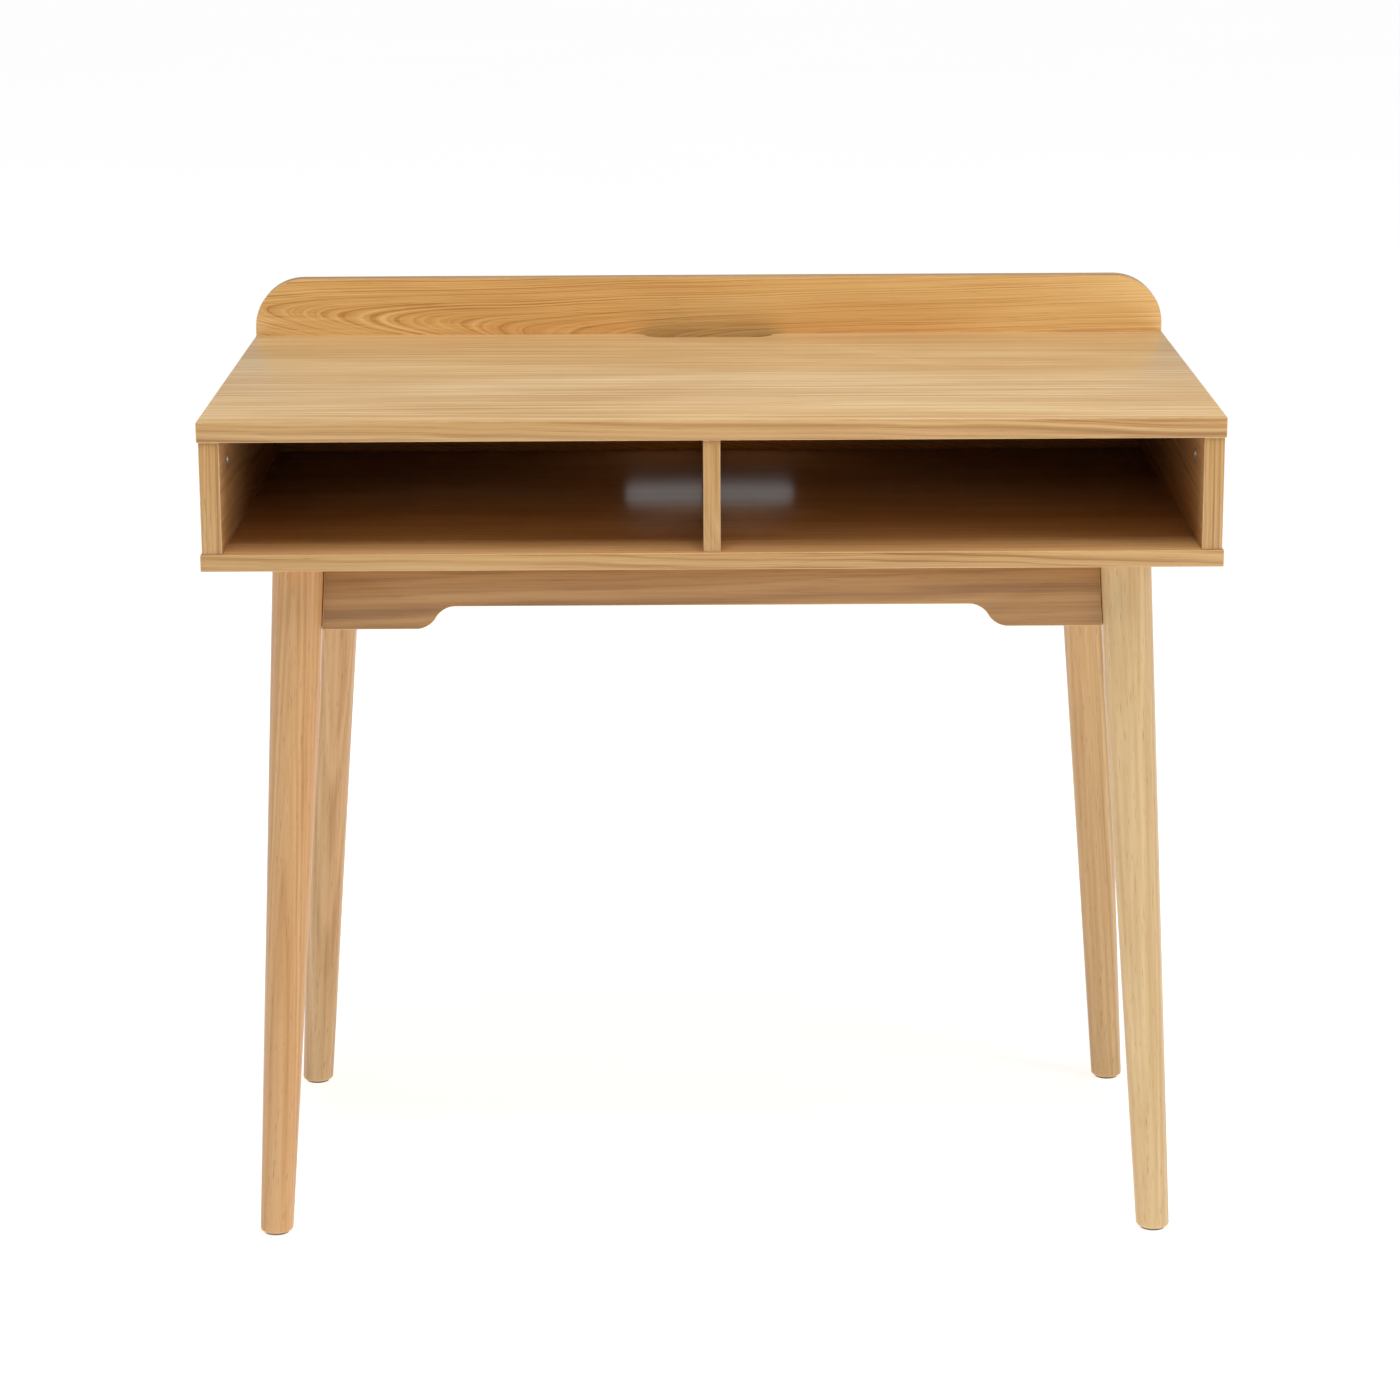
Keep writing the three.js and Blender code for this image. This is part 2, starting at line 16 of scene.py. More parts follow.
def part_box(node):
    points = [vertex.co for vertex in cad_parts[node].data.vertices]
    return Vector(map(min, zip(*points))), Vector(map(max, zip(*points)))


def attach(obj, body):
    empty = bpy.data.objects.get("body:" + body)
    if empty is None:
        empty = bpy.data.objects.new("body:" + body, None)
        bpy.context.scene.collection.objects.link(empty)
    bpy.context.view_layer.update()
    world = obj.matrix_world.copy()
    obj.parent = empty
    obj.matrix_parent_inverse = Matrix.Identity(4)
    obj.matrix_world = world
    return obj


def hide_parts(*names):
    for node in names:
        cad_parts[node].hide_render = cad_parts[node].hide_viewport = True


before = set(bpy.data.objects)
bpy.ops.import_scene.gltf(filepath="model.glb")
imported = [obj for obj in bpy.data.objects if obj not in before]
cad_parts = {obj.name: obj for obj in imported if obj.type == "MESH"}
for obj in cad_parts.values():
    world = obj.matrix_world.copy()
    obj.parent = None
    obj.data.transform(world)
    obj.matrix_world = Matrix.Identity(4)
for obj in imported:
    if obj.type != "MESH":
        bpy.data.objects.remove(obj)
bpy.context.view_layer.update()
MM = 0.001
print(len(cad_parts), "nodes loaded")

# %% [markdown]
# ## The camera
#
# A desk is usually shown from a little above the writing surface and from far away with a long lens, which
# keeps upright lines nearly parallel. The camera is turned in three steps: yaw about the upright, pitch down
# towards the desk, and a slight roll about its own line of sight.

# %% Place the camera
CAMERA_PLACE = Vector((-0.0161, -3.6711, 1.3655))
PITCH_DOWN = math.radians(13.94)
YAW = math.radians(-0.08)
ROLL = math.radians(-0.29)
FOCAL_LENGTH = 101.93
SENSOR_WIDTH = 36


def add_object(name, data):
    """Puts a new object into the scene, at the origin."""
    made = bpy.data.objects.new(name, data)
    bpy.context.scene.collection.objects.link(made)
    return made


camera_data = bpy.data.cameras.new("camera")
camera_data.lens = FOCAL_LENGTH
camera_data.sensor_width = SENSOR_WIDTH
camera = add_object("camera", camera_data)
aim = Matrix.Rotation(YAW, 4, "Z") @ Matrix.Rotation(math.pi / 2 - PITCH_DOWN, 4, "X")
camera.matrix_world = Matrix.Translation(CAMERA_PLACE) @ aim @ Matrix.Rotation(ROLL, 4, "Z")
bpy.context.scene.camera = camera
print("camera at", [round(x, 3) for x in CAMERA_PLACE])

# %% [markdown]
# ## Nodes in plain words
#
# A material is a small program of nodes, and so is the light of the world. Writing each node out takes
# several lines, so these helpers add one node in one line: a value goes straight into a socket, and another
# node's output is linked to it.

# %% Helpers that add nodes
def add_node(tree, kind, sockets=None, **settings):
    """Adds a shader node, sets its options, and fills or links its input sockets."""
    made = tree.nodes.new("ShaderNode" + kind)
    for option, value in settings.items():
        setattr(made, option, value)
    for socket, value in (sockets or {}).items():
        if isinstance(value, bpy.types.NodeSocket):
            tree.links.new(value, made.inputs[socket])
        else:
            made.inputs[socket].default_value = value
    return made


def maths(tree, operation, first, second=0.0):
    """One sum on two numbers."""
    return add_node(tree, "Math", {0: first, 1: second}, operation=operation).outputs[0]


def vector_maths(tree, operation, first, second=(0, 0, 0)):
    """One sum on two vectors."""
    return add_node(tree, "VectorMath", {0: first, 1: second}, operation=operation).outputs[0]


def noise(tree, vector, detail=3.0, roughness=0.5):
    """Soft clouds between 0 and 1, one cloud per unit of the vector."""
    sockets = {"Vector": vector, "Scale": 1.0, "Detail": detail, "Roughness": roughness}
    return add_node(tree, "TexNoise", sockets)


def specks(tree, per_metre, detail=3.0, roughness=0.5):
    """Soft clouds that stay on the piece, so many to each metre of it."""
    places = add_node(tree, "TexCoord").outputs["Object"]
    scaled = vector_maths(tree, "MULTIPLY", places, (per_metre, per_metre, per_metre))
    return noise(tree, scaled, detail, roughness).outputs["Fac"]


def remap(tree, value, low, high, to_low=0.0, to_high=1.0):
    """Stretches the part of a value between low and high, and holds it there."""
    sockets = {0: value, 1: low, 2: high, 3: to_low, 4: to_high}
    return add_node(tree, "MapRange", sockets).outputs[0]


def mix_colours(tree, share, first, second):
    """Mixes two colours."""
    return add_node(tree, "Mix", {0: share, 6: first, 7: second}, data_type="RGBA").outputs[2]


def tone(red, green, blue):
    """A colour from the 0 to 255 numbers of a paint chart."""
    def linear(value):
        share = value / 255
        return share / 12.92 if share <= 0.04045 else ((share + 0.055) / 1.055) ** 2.4
    return (linear(red), linear(green), linear(blue), 1)


def new_material(name):
    """An empty material, its node tree and its main shader."""
    material = bpy.data.materials.new(name)
    material.use_nodes = True
    return material, material.node_tree, material.node_tree.nodes["Principled BSDF"]


def paint(tree, shader, colour, roughness):
    """Gives a finish its colour and its roughness."""
    tree.links.new(colour, shader.inputs["Base Color"])
    tree.links.new(roughness, shader.inputs["Roughness"])


def press(tree, shader, height, depth, strength):
    """Presses a pattern into a finish as a fine relief."""
    bump = add_node(tree, "Bump", {"Strength": strength, "Distance": depth, "Height": height})
    tree.links.new(bump.outputs["Normal"], shader.inputs["Normal"])


print("node helpers ready")

# %% [markdown]
# ## The studio
#
# Furniture is often shown on a white sweep inside a tent of white cloth. A pale world stands for the tent:
# white behind and above, dimmer on the side where the room is open. One large soft lamp in front and above
# gives the shapes their direction: it leaves a soft shadow under the front edge and lets the open
# compartments fall into shade. A weaker lamp low on the right lights the right side of each round leg and
# the inner face of the left side panel.

# %% Light the room
TENT_FRONT = 0.04
TENT_REAR = 0.38
BRIGHT_SIDE = (0, 0.8, 0.6)
DIM_UP_TO = -0.8
BRIGHT_FROM = 0.5
KEY_POWER = 69
KEY_PLACE = Vector((0.0, -1.15, 3.5))
KEY_SIZE = 1.5
SIDE_POWER = 13
SIDE_PLACE = Vector((2.6, -1.1, 1.15))
SIDE_SIZE = 0.9
DESK_MIDDLE = Vector((0, 0, 0.6))

world = bpy.data.worlds.new("white_tent")
world.use_nodes = True
tent = world.node_tree
outward = add_node(tent, "TexCoord").outputs["Generated"]
facing = add_node(tent, "VectorMath", {0: outward, 1: BRIGHT_SIDE}, operation="DOT_PRODUCT")
strength = remap(tent, facing.outputs["Value"], DIM_UP_TO, BRIGHT_FROM, TENT_FRONT, TENT_REAR)
tent.links.new(strength, tent.nodes["Background"].inputs["Strength"])
tent.nodes["Background"].inputs["Color"].default_value = (1, 1, 1, 1)
bpy.context.scene.world = world
bpy.context.scene.view_settings.view_transform = "Standard"


def soft_lamp(name, place, size, power):
    """A square lamp that faces the middle of the desk."""
    data = bpy.data.lights.new(name, "AREA")
    data.size = size
    data.energy = power
    lamp = add_object(name, data)
    lamp.location = place
    lamp.rotation_euler = (DESK_MIDDLE - place).to_track_quat("-Z", "Y").to_euler()


soft_lamp("key_lamp", KEY_PLACE, KEY_SIZE, KEY_POWER)
soft_lamp("side_lamp", SIDE_PLACE, SIDE_SIZE, SIDE_POWER)
print("two soft lamps,", KEY_POWER, "and", SIDE_POWER, "W")

# %% [markdown]
# ## The floor
#
# The floor only has to be plain, pale and even. It is one square grown from a grid operator. A little light
# of its own lifts it to the same white as the tent, as a lit sweep table does.

# %% Lay the floor
FLOOR_HALF = 60
FLOOR_GLOW = 0.68

floor_material, floor_tree, floor_shader = new_material("sweep_paper")
floor_white = mix_colours(floor_tree, specks(floor_tree, 1), tone(246, 246, 246), tone(250, 250, 250))
floor_tree.links.new(floor_white, floor_shader.inputs["Base Color"])
floor_shader.inputs["Roughness"].default_value = 0.9
floor_shader.inputs["Specular IOR Level"].default_value = 0.1
floor_shader.inputs["Emission Color"].default_value = (1, 1, 1, 1)
floor_shader.inputs["Emission Strength"].default_value = FLOOR_GLOW

floor_bm = bmesh.new()
bmesh.ops.create_grid(floor_bm, x_segments=1, y_segments=1, size=FLOOR_HALF)
floor_mesh = bpy.data.meshes.new("floor")
floor_bm.to_mesh(floor_mesh)
floor_bm.free()
floor_mesh.materials.append(floor_material)
add_object("floor", floor_mesh)
print("floor laid")

# %% [markdown]
# ## What wood grain is
#
# A tree lays down one cone of wood a year round its pith. Any cut through those cones shows their edges:
# nearly straight lines when the cut is far from the pith, and nested arches where it passes close to it.
# So the grain is worked out as one quantity, the distance from a pith line that wanders a little, plus a
# taper along the trunk. An uneven one-dimensional noise of that distance gives years of different width.
# Painting this in three dimensions makes the lines run on correctly round a corner or a turned leg.

# %% Helpers that grow the grain
GRAIN_TURNS = {"x": (0, 0, 0), "y": (0, 0, math.pi / 2), "z": (0, -math.pi / 2, 0)}


def grain_space(tree, along, centre=(0, 0, 0), lean=0.0):
    """Places on the piece, turned so that the first number runs along the grain."""
    places = add_node(tree, "TexCoord").outputs["Object"]
    turn = Vector(GRAIN_TURNS[along]) + Vector((0, lean, 0))
    sockets = {"Vector": places, "Location": centre, "Rotation": turn}
    return add_node(tree, "Mapping", sockets, vector_type="TEXTURE").outputs[0]


def growth_rings(tree, space, pith, drift, taper, waver, ring_width):
    """Uneven growth rings between 0 and 1, about a pith line beside the piece.

    pith is where the line lies across the grain, and drift how far it moves across in each metre."""
    slow = vector_maths(tree, "MULTIPLY", space, (2.6, 8.0, 8.0))
    wave = vector_maths(tree, "SUBTRACT", noise(tree, slow, 3.0).outputs["Color"], (0.5, 0.5, 0.5))
    moved = vector_maths(tree, "ADD", space, vector_maths(tree, "MULTIPLY", wave, (0, waver, waver)))
    along = add_node(tree, "SeparateXYZ", {0: space}).outputs[0]
    line = add_node(tree, "VectorMath", {0: (0, *drift), "Scale": along}, operation="SCALE").outputs[0]
    line = vector_maths(tree, "ADD", line, (0, *pith))
    across = vector_maths(tree, "MULTIPLY", vector_maths(tree, "SUBTRACT", moved, line), (0, 1, 1))
    distance = add_node(tree, "VectorMath", {0: across}, operation="LENGTH").outputs["Value"]
    radius = add_node(tree, "Math", {0: along, 1: taper, 2: distance}, operation="MULTIPLY_ADD").outputs[0]
    years = maths(tree, "DIVIDE", radius, ring_width)
    rings = add_node(tree, "TexNoise", {"W": years, "Scale": 1.0, "Detail": 2.5, "Roughness": 0.6},
                     noise_dimensions="1D")
    return rings.outputs["Fac"]


def fibres(tree, space, per_metre_along, per_metre_across, detail=4.0):
    """Long thin streaks between 0 and 1."""
    squeezed = vector_maths(
        tree, "MULTIPLY", space, (per_metre_along, per_metre_across, per_metre_across))
    return noise(tree, squeezed, detail, 0.6).outputs["Fac"]


def swing(tree, layer, share):
    """A layer between 0 and 1 as a swing to both sides of nothing."""
    return maths(tree, "MULTIPLY", maths(tree, "SUBTRACT", layer, 0.5), share)


print("grain helpers ready")

# %% [markdown]
# ## The printed oak of the boards
#
# The boards are chipboard with a wood print pressed on, sealed with a satin lacquer. The print has four
# layers: growth rings, pale and brown streaks, a slow change of tone from place to place, and short dark
# pores. Pores and rings are also pressed a few hundredths of a millimetre deep, so they catch the light.

# %% Make the board print
PORE_BROWN = tone(120, 82, 46)
WISP_SHARE = 0.6
CLOUD_SHARE = 0.7
PRINT_DEPTH = 0.1 * MM


def board_print(name, along, tones, centre=(0, 0, 0), pith=(0.5, 0.05), drift=(0, 0), taper=0.02,
                waver=0.03, ring_width=0.006, ring_share=0.5, streak_share=0.5, roughness=0.36,
                gloss=0.5):
    """A laminated board's face. tones are its dark, middle and pale colours."""
    material, tree, shader = new_material(name)
    space = grain_space(tree, along, centre)
    rings = growth_rings(tree, space, pith, drift, taper, waver, ring_width)
    grain = swing(tree, rings, ring_share)
    streaks = swing(tree, fibres(tree, space, 2.5, 150), streak_share)
    wisps = swing(tree, fibres(tree, space, 7, 600), WISP_SHARE)
    clouds = swing(tree, fibres(tree, space, 2.2, 11, 2.0), CLOUD_SHARE)
    light = maths(tree, "ADD", maths(tree, "ADD", grain, streaks), maths(tree, "ADD", wisps, clouds))
    brown = mix_colours(tree, remap(tree, light, -0.32, 0.0), tones[0], tones[1])
    colour = mix_colours(tree, remap(tree, light, 0.0, 0.34), brown, tones[2])

    pores = remap(tree, fibres(tree, space, 28, 1100, 2.0), 0.62, 0.74)
    colour = mix_colours(tree, maths(tree, "MULTIPLY", pores, 0.45), colour, PORE_BROWN)

    paint(tree, shader, colour, remap(tree, light, -0.4, 0.4, roughness + 0.07, roughness - 0.05))
    height = maths(tree, "SUBTRACT", maths(tree, "MULTIPLY", rings, 0.25), pores)
    press(tree, shader, height, PRINT_DEPTH, 0.25)
    shader.inputs["Specular IOR Level"].default_value = gloss
    return material


print("board print ready")

# %% [markdown]
# ## Edge bands and arrises
#
# Every edge of a board is covered with a glued strip of the same print, whose grain always runs along the
# edge. After gluing, the strip's corners are trimmed to a tiny radius, the arris. Its colour is painted
# paler than the band, a painted highlight that draws the fine light line round each board.

# %% Make the edge bands and the arris
BAND_TONES = (tone(158, 112, 62), tone(198, 154, 97), tone(216, 176, 121))

bands = {}
for along in GRAIN_TURNS:
    bands[along] = board_print(
        "edge_band_" + along, along, BAND_TONES, centre=(0.13, 0.09, 0.21), pith=(0.31, 0.17),
        taper=0.010, waver=0.012, ring_width=0.0021, ring_share=1.15, streak_share=0.35, roughness=0.42)

arris_material, arris_tree, arris_shader = new_material("trimmed_arris")
# Painted highlight: the arris gets paler tones than its band, to stand for the light its rounded edge
# catches.
arris_highlight_specks = specks(arris_tree, 90, 4.0)
arris_highlight_colour = mix_colours(arris_tree, arris_highlight_specks, tone(196, 150, 96), tone(228, 192, 142))
paint(arris_tree, arris_shader, arris_highlight_colour, remap(arris_tree, arris_highlight_specks, 0.3, 0.7, 0.38, 0.55))
print(len(bands), "edge bands and one arris")

# %% [markdown]
# ## How a board is made
#
# A board is drawn as a flat outline with only the points its shape needs. A corner that should be round is
# cut by a vertex bevel, whose offset is the length of the two tangents. The flat face is then extruded to
# the board's thickness, and an edge bevel turns its sharp rim into the arris. Last, each face is given
# its finish by the way it faces: the two wide sides get the print, and the rim gets the strip whose grain
# runs along that stretch of edge.

# %% Helpers that make a board
ARRIS = 0.7 * MM
ARRIS_STEPS = 2
CURVE_STEPS = 14
SHARP_CORNER = math.radians(50)
SMOOTH_BELOW = math.radians(40)
FLAT_NORMAL = 0.9999
WIDE_NORMAL = 0.9
FACE_SLOT, ARRIS_SLOT = 0, 1
BAND_SLOTS = {"x": 2, "y": 3, "z": 4}
AXES = "xyz"


def point_in_board(across, u, v, w):
    """A board's own outline numbers, u and v, and its thickness number, w, as a place."""
    return {"x": Vector((w, u, v)), "y": Vector((u, w, v)), "z": Vector((u, v, w))}[across]


def outline_face(bm, outline, across, level):
    """A flat face with its corners rounded. Each outline point is (u, v, tangent length)."""
    corners = [bm.verts.new(point_in_board(across, u, v, level)) for u, v, tangent in outline]
    bm.faces.new(corners)
    for corner, (u, v, tangent) in zip(corners, outline):
        if tangent:
            bmesh.ops.bevel(bm, geom=[corner], offset=tangent, offset_type="OFFSET",
                            segments=CURVE_STEPS, profile=0.5, affect="VERTICES", material=-1)
    return bm


def bevel_edges(bm, edges, offset, steps, material=-1):
    """Rounds edges. The new faces keep their neighbours' finish unless one is given."""
    bmesh.ops.bevel(bm, geom=edges, offset=offset, offset_type="OFFSET", segments=steps, profile=0.5,
                    affect="EDGES", material=material)


def raise_board(bm, across, low, high, arris=ARRIS):
    """Pulls the flat face, which lies at low, out to high, and trims its sharp rim to an arris."""
    faces = list(bm.faces)
    pulled = bmesh.ops.extrude_face_region(bm, geom=faces, use_keep_orig=True)
    moved = [v for v in pulled["geom"] if isinstance(v, bmesh.types.BMVert)]
    bmesh.ops.translate(bm, verts=moved, vec=point_in_board(across, 0, 0, high - low))
    bmesh.ops.recalc_face_normals(bm, faces=bm.faces)
    bm.normal_update()
    wide = AXES.index(across)

    def is_wide(face):
        return abs(face.normal[wide]) > WIDE_NORMAL

    rim = [e for e in bm.edges if len(e.link_faces) == 2
           and is_wide(e.link_faces[0]) != is_wide(e.link_faces[1])]
    corners = [e for e in bm.edges if len(e.link_faces) == 2 and e not in rim
               and e.calc_face_angle(0) > SHARP_CORNER]
    bevel_edges(bm, rim + corners, arris, ARRIS_STEPS, ARRIS_SLOT)
    bm.normal_update()


def finish_board_faces(bm, across):
    """Gives each face of a board its finish by the way it faces."""
    wide = AXES.index(across)
    for face in bm.faces:
        if face.material_index == ARRIS_SLOT:
            continue
        if abs(face.normal[wide]) > WIDE_NORMAL:
            face.material_index = FACE_SLOT
            continue
        in_plane = [axis for axis in AXES if axis != across]
        upright = max(in_plane, key=lambda axis: abs(face.normal[AXES.index(axis)]))
        along = [axis for axis in in_plane if axis != upright][0]
        face.material_index = BAND_SLOTS[along]


def place_piece(name, bm, materials, slot, *nodes):
    """Turns a finished bmesh into a piece that rides with the desk and stands for the given nodes."""
    for face in bm.faces:
        face.smooth = max(abs(c) for c in face.normal) < FLAT_NORMAL
    mesh = bpy.data.meshes.new(name)
    bm.to_mesh(mesh)
    bm.free()
    mesh.set_sharp_from_angle(angle=SMOOTH_BELOW)
    for material in materials:
        mesh.materials.append(material)
    piece = add_object(name, mesh)
    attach(piece, "root")
    if nodes:
        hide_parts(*nodes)
    return piece


def finish_board(bm, node, name, across, face_print):
    """Makes a flat face as thick as its node's board, finishes it and lays it in its place."""
    low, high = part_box(node)
    wide = AXES.index(across)
    raise_board(bm, across, low[wide], high[wide])
    finish_board_faces(bm, across)
    materials = [face_print, arris_material, bands["x"], bands["y"], bands["z"]]
    return place_piece(name, bm, materials, "panel_oak", node)


print("board helpers ready")

# %% [markdown]
# ## The desktop
#
# The desktop is a rectangle with a cable notch in its rear edge. Each end of the notch is an ogee, an S of
# two equal arcs. Two control points and one tangent length describe it: the arcs meet halfway. The printed
# grain of the top is nearly straight, with cream streaks.

# %% Read the sizes that the boards share
desk_low, desk_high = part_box("desktop")
base_low, base_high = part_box("base_panel")
back_low, back_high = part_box("back_board")
OGEE_WIDTH = 34 * MM
NOTCH_FLAT = 90 * MM
NOTCH_DEPTH = 26 * MM
ARC_SHARE = 0.998
print("desktop", [round(c / MM, 1) for c in desk_high - desk_low], "mm")


# %% Shape and lay the desktop
def ogee(u, v, run, depth):
    """The two control points of an S that starts level at (u, v) and ends level, run and depth away.

    Arcs of full length would meet in one place and pinch the outline, so they stop just short of it."""
    turn = 2 * math.atan(abs(depth / run))
    tangent = abs(run) / 2 / math.sin(turn) * math.tan(turn / 2)
    step = math.copysign(tangent, run)
    return [(u + step, v, tangent * ARC_SHARE), (u + run - step, v + depth, tangent * ARC_SHARE)]


# Painted light: the desktop's tones are paler than the other boards' of the same laminate, standing in for
# the light and sheen on its top, and its lacquer's own reflection is turned down.
desk_lit_print = board_print(
    "desktop_print", "x", (tone(190, 146, 92), tone(222, 182, 126), tone(244, 220, 176)),
    centre=(0.05, 0.0, desk_high.z), pith=(-0.62, -0.10), taper=0.035, waver=0.022, ring_width=0.0055,
    ring_share=0.7, streak_share=0.95, roughness=0.32, gloss=0.26)

notch_mouth = NOTCH_FLAT / 2 + OGEE_WIDTH
left_ogee = ogee(-notch_mouth, desk_high.y, OGEE_WIDTH, -NOTCH_DEPTH)
right_ogee = [(-u, v, tangent) for u, v, tangent in left_ogee]
desk_outline = [
    (desk_low.x, desk_low.y, 0), (desk_high.x, desk_low.y, 0), (desk_high.x, desk_high.y, 0),
    (notch_mouth, desk_high.y, 0), *right_ogee, *reversed(left_ogee), (-notch_mouth, desk_high.y, 0),
    (desk_low.x, desk_high.y, 0),
]
desk_bm = outline_face(bmesh.new(), desk_outline, "z", desk_low.z)
desktop = finish_board(desk_bm, "desktop", "desktop_board", "z", desk_lit_print)
print("desktop_board", len(desktop.data.polygons), "faces")

# %% [markdown]
# ## Holes for fittings
#
# The screws under the base and behind the back board sit in countersunk holes, and each cam sits in a round
# bore. A cutter of the hole's shape is subtracted with a Boolean modifier, which is then applied so
# that the piece is one plain mesh. The cutter carries the chipboard finish, so the hole's wall shows the
# board's raw core.

# %% Make the chipboard core and the drill
CHIPS_PER_METRE = 700.0
CHIP_DEPTH = 0.2 * MM

core_material, core_tree, core_shader = new_material("chipboard_core")
core_places = add_node(core_tree, "TexCoord").outputs["Object"]
core_chips = add_node(core_tree, "TexVoronoi", {"Vector": core_places, "Scale": CHIPS_PER_METRE})
core_colour = mix_colours(
    core_tree, core_chips.outputs["Distance"], tone(196, 160, 112), tone(132, 96, 58))
core_tree.links.new(core_colour, core_shader.inputs["Base Color"])
press(core_tree, core_shader, core_chips.outputs["Distance"], CHIP_DEPTH, 0.5)
core_shader.inputs["Roughness"].default_value = 0.85

ROUND = 32
FINE_ROUND = 48
COARSE_ROUND = 24
HOLE_SPARE = 0.3 * MM
MERGE_WITHIN = 0.001 * MM
ORIGIN = Vector((0, 0, 0))
UP = Vector((0, 0, 1))


def towards(direction):
    """A turn that takes the Z axis to a direction."""
    return Vector(direction).to_track_quat("Z", "Y").to_matrix().to_4x4()


def lathe(bm, profile, place, direction, steps=ROUND):
    """A closed solid of revolution. profile is (radius, distance along the axis) from the near end."""
    turn = Matrix.Translation(place) @ towards(direction)
    points = [bm.verts.new(turn @ Vector((radius, 0, along))) for radius, along in profile]
    line = [bm.edges.new(pair) for pair in zip(points, points[1:])]
    bmesh.ops.spin(bm, geom=points + line, cent=place, axis=turn.to_3x3() @ UP, dvec=(0, 0, 0),
                   angle=math.tau, steps=steps, use_merge=True)


def tidy_solid(bm):
    """Closes poles and seams, and turns every face outwards."""
    bmesh.ops.remove_doubles(bm, verts=bm.verts, dist=MERGE_WITHIN)
    bmesh.ops.recalc_face_normals(bm, faces=bm.faces)
    bm.normal_update()
    return bm


def combine(piece, tool, operation, **settings):
    """Applies a Boolean of a piece and a tool, and removes the tool."""
    boolean = piece.modifiers.new("boolean", "BOOLEAN")
    boolean.object = tool
    boolean.operation = operation
    boolean.solver = "EXACT"
    for option, value in settings.items():
        setattr(boolean, option, value)
    graph = bpy.context.evaluated_depsgraph_get()
    piece.data = bpy.data.meshes.new_from_object(piece.evaluated_get(graph))
    bpy.data.objects.remove(tool)
    piece.modifiers.clear()
    return piece


def subtract(piece, cutter_bm, wall):
    """Cuts one closed shape out of a piece. The cut's walls get the material given."""
    tidy_solid(cutter_bm)
    cutter_mesh = bpy.data.meshes.new("cutter")
    cutter_bm.to_mesh(cutter_mesh)
    cutter_bm.free()
    cutter_mesh.materials.append(wall)
    return combine(piece, add_object("cutter", cutter_mesh), "DIFFERENCE", material_mode="TRANSFER")


def drill(piece, holes, wall=core_material):
    """Cuts round holes in a piece. Each hole is (profile, place, direction)."""
    cutter_bm = bmesh.new()
    for profile, place, direction in holes:
        lathe(cutter_bm, profile, place, direction)
    return subtract(piece, cutter_bm, wall)


print("drill ready")

# %% [markdown]
# ## Where the panel screws go
#
# Twelve countersunk screws with a hexagon socket hold the carcass: six go up through the base panel into the
# side panels and the divider, and six come from behind through the back board. Their places are read from
# the frame's own screws, so heads and holes agree.

# %% Read the screws' places
SCREW_HEAD = 5.0 * MM
SCREW_HEAD_DEPTH = 4.0 * MM
SCREW_SHANK = 3.2 * MM
SOCKET_RADIUS = 2.2 * MM
SOCKET_DEPTH = 2.5 * MM
SCREW_HOLE_DEPTH = 9 * MM

base_screws = {}
back_screws = {}
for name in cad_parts:
    low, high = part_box(name)
    middle = (low + high) / 2
    if name.startswith("base_screw_"):
        base_screws[name] = Vector((middle.x, middle.y, low.z))
    elif name.startswith("back_screw_"):
        back_screws[name] = Vector((middle.x, high.y, middle.z))

SCREW_HOLE = [
    (0, -HOLE_SPARE), (SCREW_HEAD + HOLE_SPARE, -HOLE_SPARE),
    (SCREW_HEAD + HOLE_SPARE, SCREW_HEAD_DEPTH / 2), (SCREW_SHANK + HOLE_SPARE, SCREW_HEAD_DEPTH),
    (SCREW_SHANK + HOLE_SPARE, SCREW_HOLE_DEPTH), (0, SCREW_HOLE_DEPTH),
]
print(len(base_screws), "base screws and", len(back_screws), "back screws")

# %% [markdown]
# ## The base panel
#
# The base panel is the floor of both compartments: a plain rectangle, 15 mm thick. It is made like every
# other board, and its six screw holes are drilled from below.

# %% Shape and drill the base panel
BOARD_TONES = (tone(160, 116, 72), tone(190, 146, 96), tone(208, 170, 122))

base_print = board_print(
    "base_print", "x", BOARD_TONES, centre=(-0.2, 0.05, base_high.z), pith=(0.4, -0.06), taper=0.03,
    ring_width=0.005, ring_share=0.35, streak_share=0.4, roughness=0.19, gloss=0.24)


def rectangle(u_low, v_low, u_high, v_high):
    """The outline of a board with four square corners."""
    return [(u_low, v_low, 0), (u_high, v_low, 0), (u_high, v_high, 0), (u_low, v_high, 0)]


base_bm = outline_face(
    bmesh.new(), rectangle(base_low.x, base_low.y, base_high.x, base_high.y), "z", base_low.z)
base = finish_board(base_bm, "base_panel", "base_board", "z", base_print)
drill(base, [(SCREW_HOLE, place, UP) for place in base_screws.values()])
print("base_board", len(base.data.polygons), "faces after drilling")

# %% [markdown]
# ## The back board
#
# The back board closes both compartments, rises above the desktop as an upstand with two rounded corners, and
# has a rounded cable port in the middle. The port is a second outline. Both outlines are reduced to loops of
# edges, and filling the room between the loops leaves a face with a hole. Its print is the liveliest of the
# desk, with nested arches at the left where the cut ran close to the pith.

# %% Shape the back board
UPSTAND_RADIUS = 48 * MM
PORT_WIDTH = 174 * MM
PORT_HEIGHT = 60 * MM
PORT_RADIUS = 15 * MM

# Painted light: the back board's tones are paler than the other boards' of the same laminate, to make up for
# the shade the desktop casts on it.
back_print = board_print(
    "back_print", "x", (tone(188, 132, 66), tone(226, 176, 106), tone(240, 202, 138)),
    centre=(-0.33, back_low.y, desk_high.z + 18 * MM), pith=(0.018, -0.002), drift=(0.0, -0.08),
    taper=-0.10, waver=0.016, ring_width=0.0012, ring_share=1.1, streak_share=0.3, roughness=0.34)

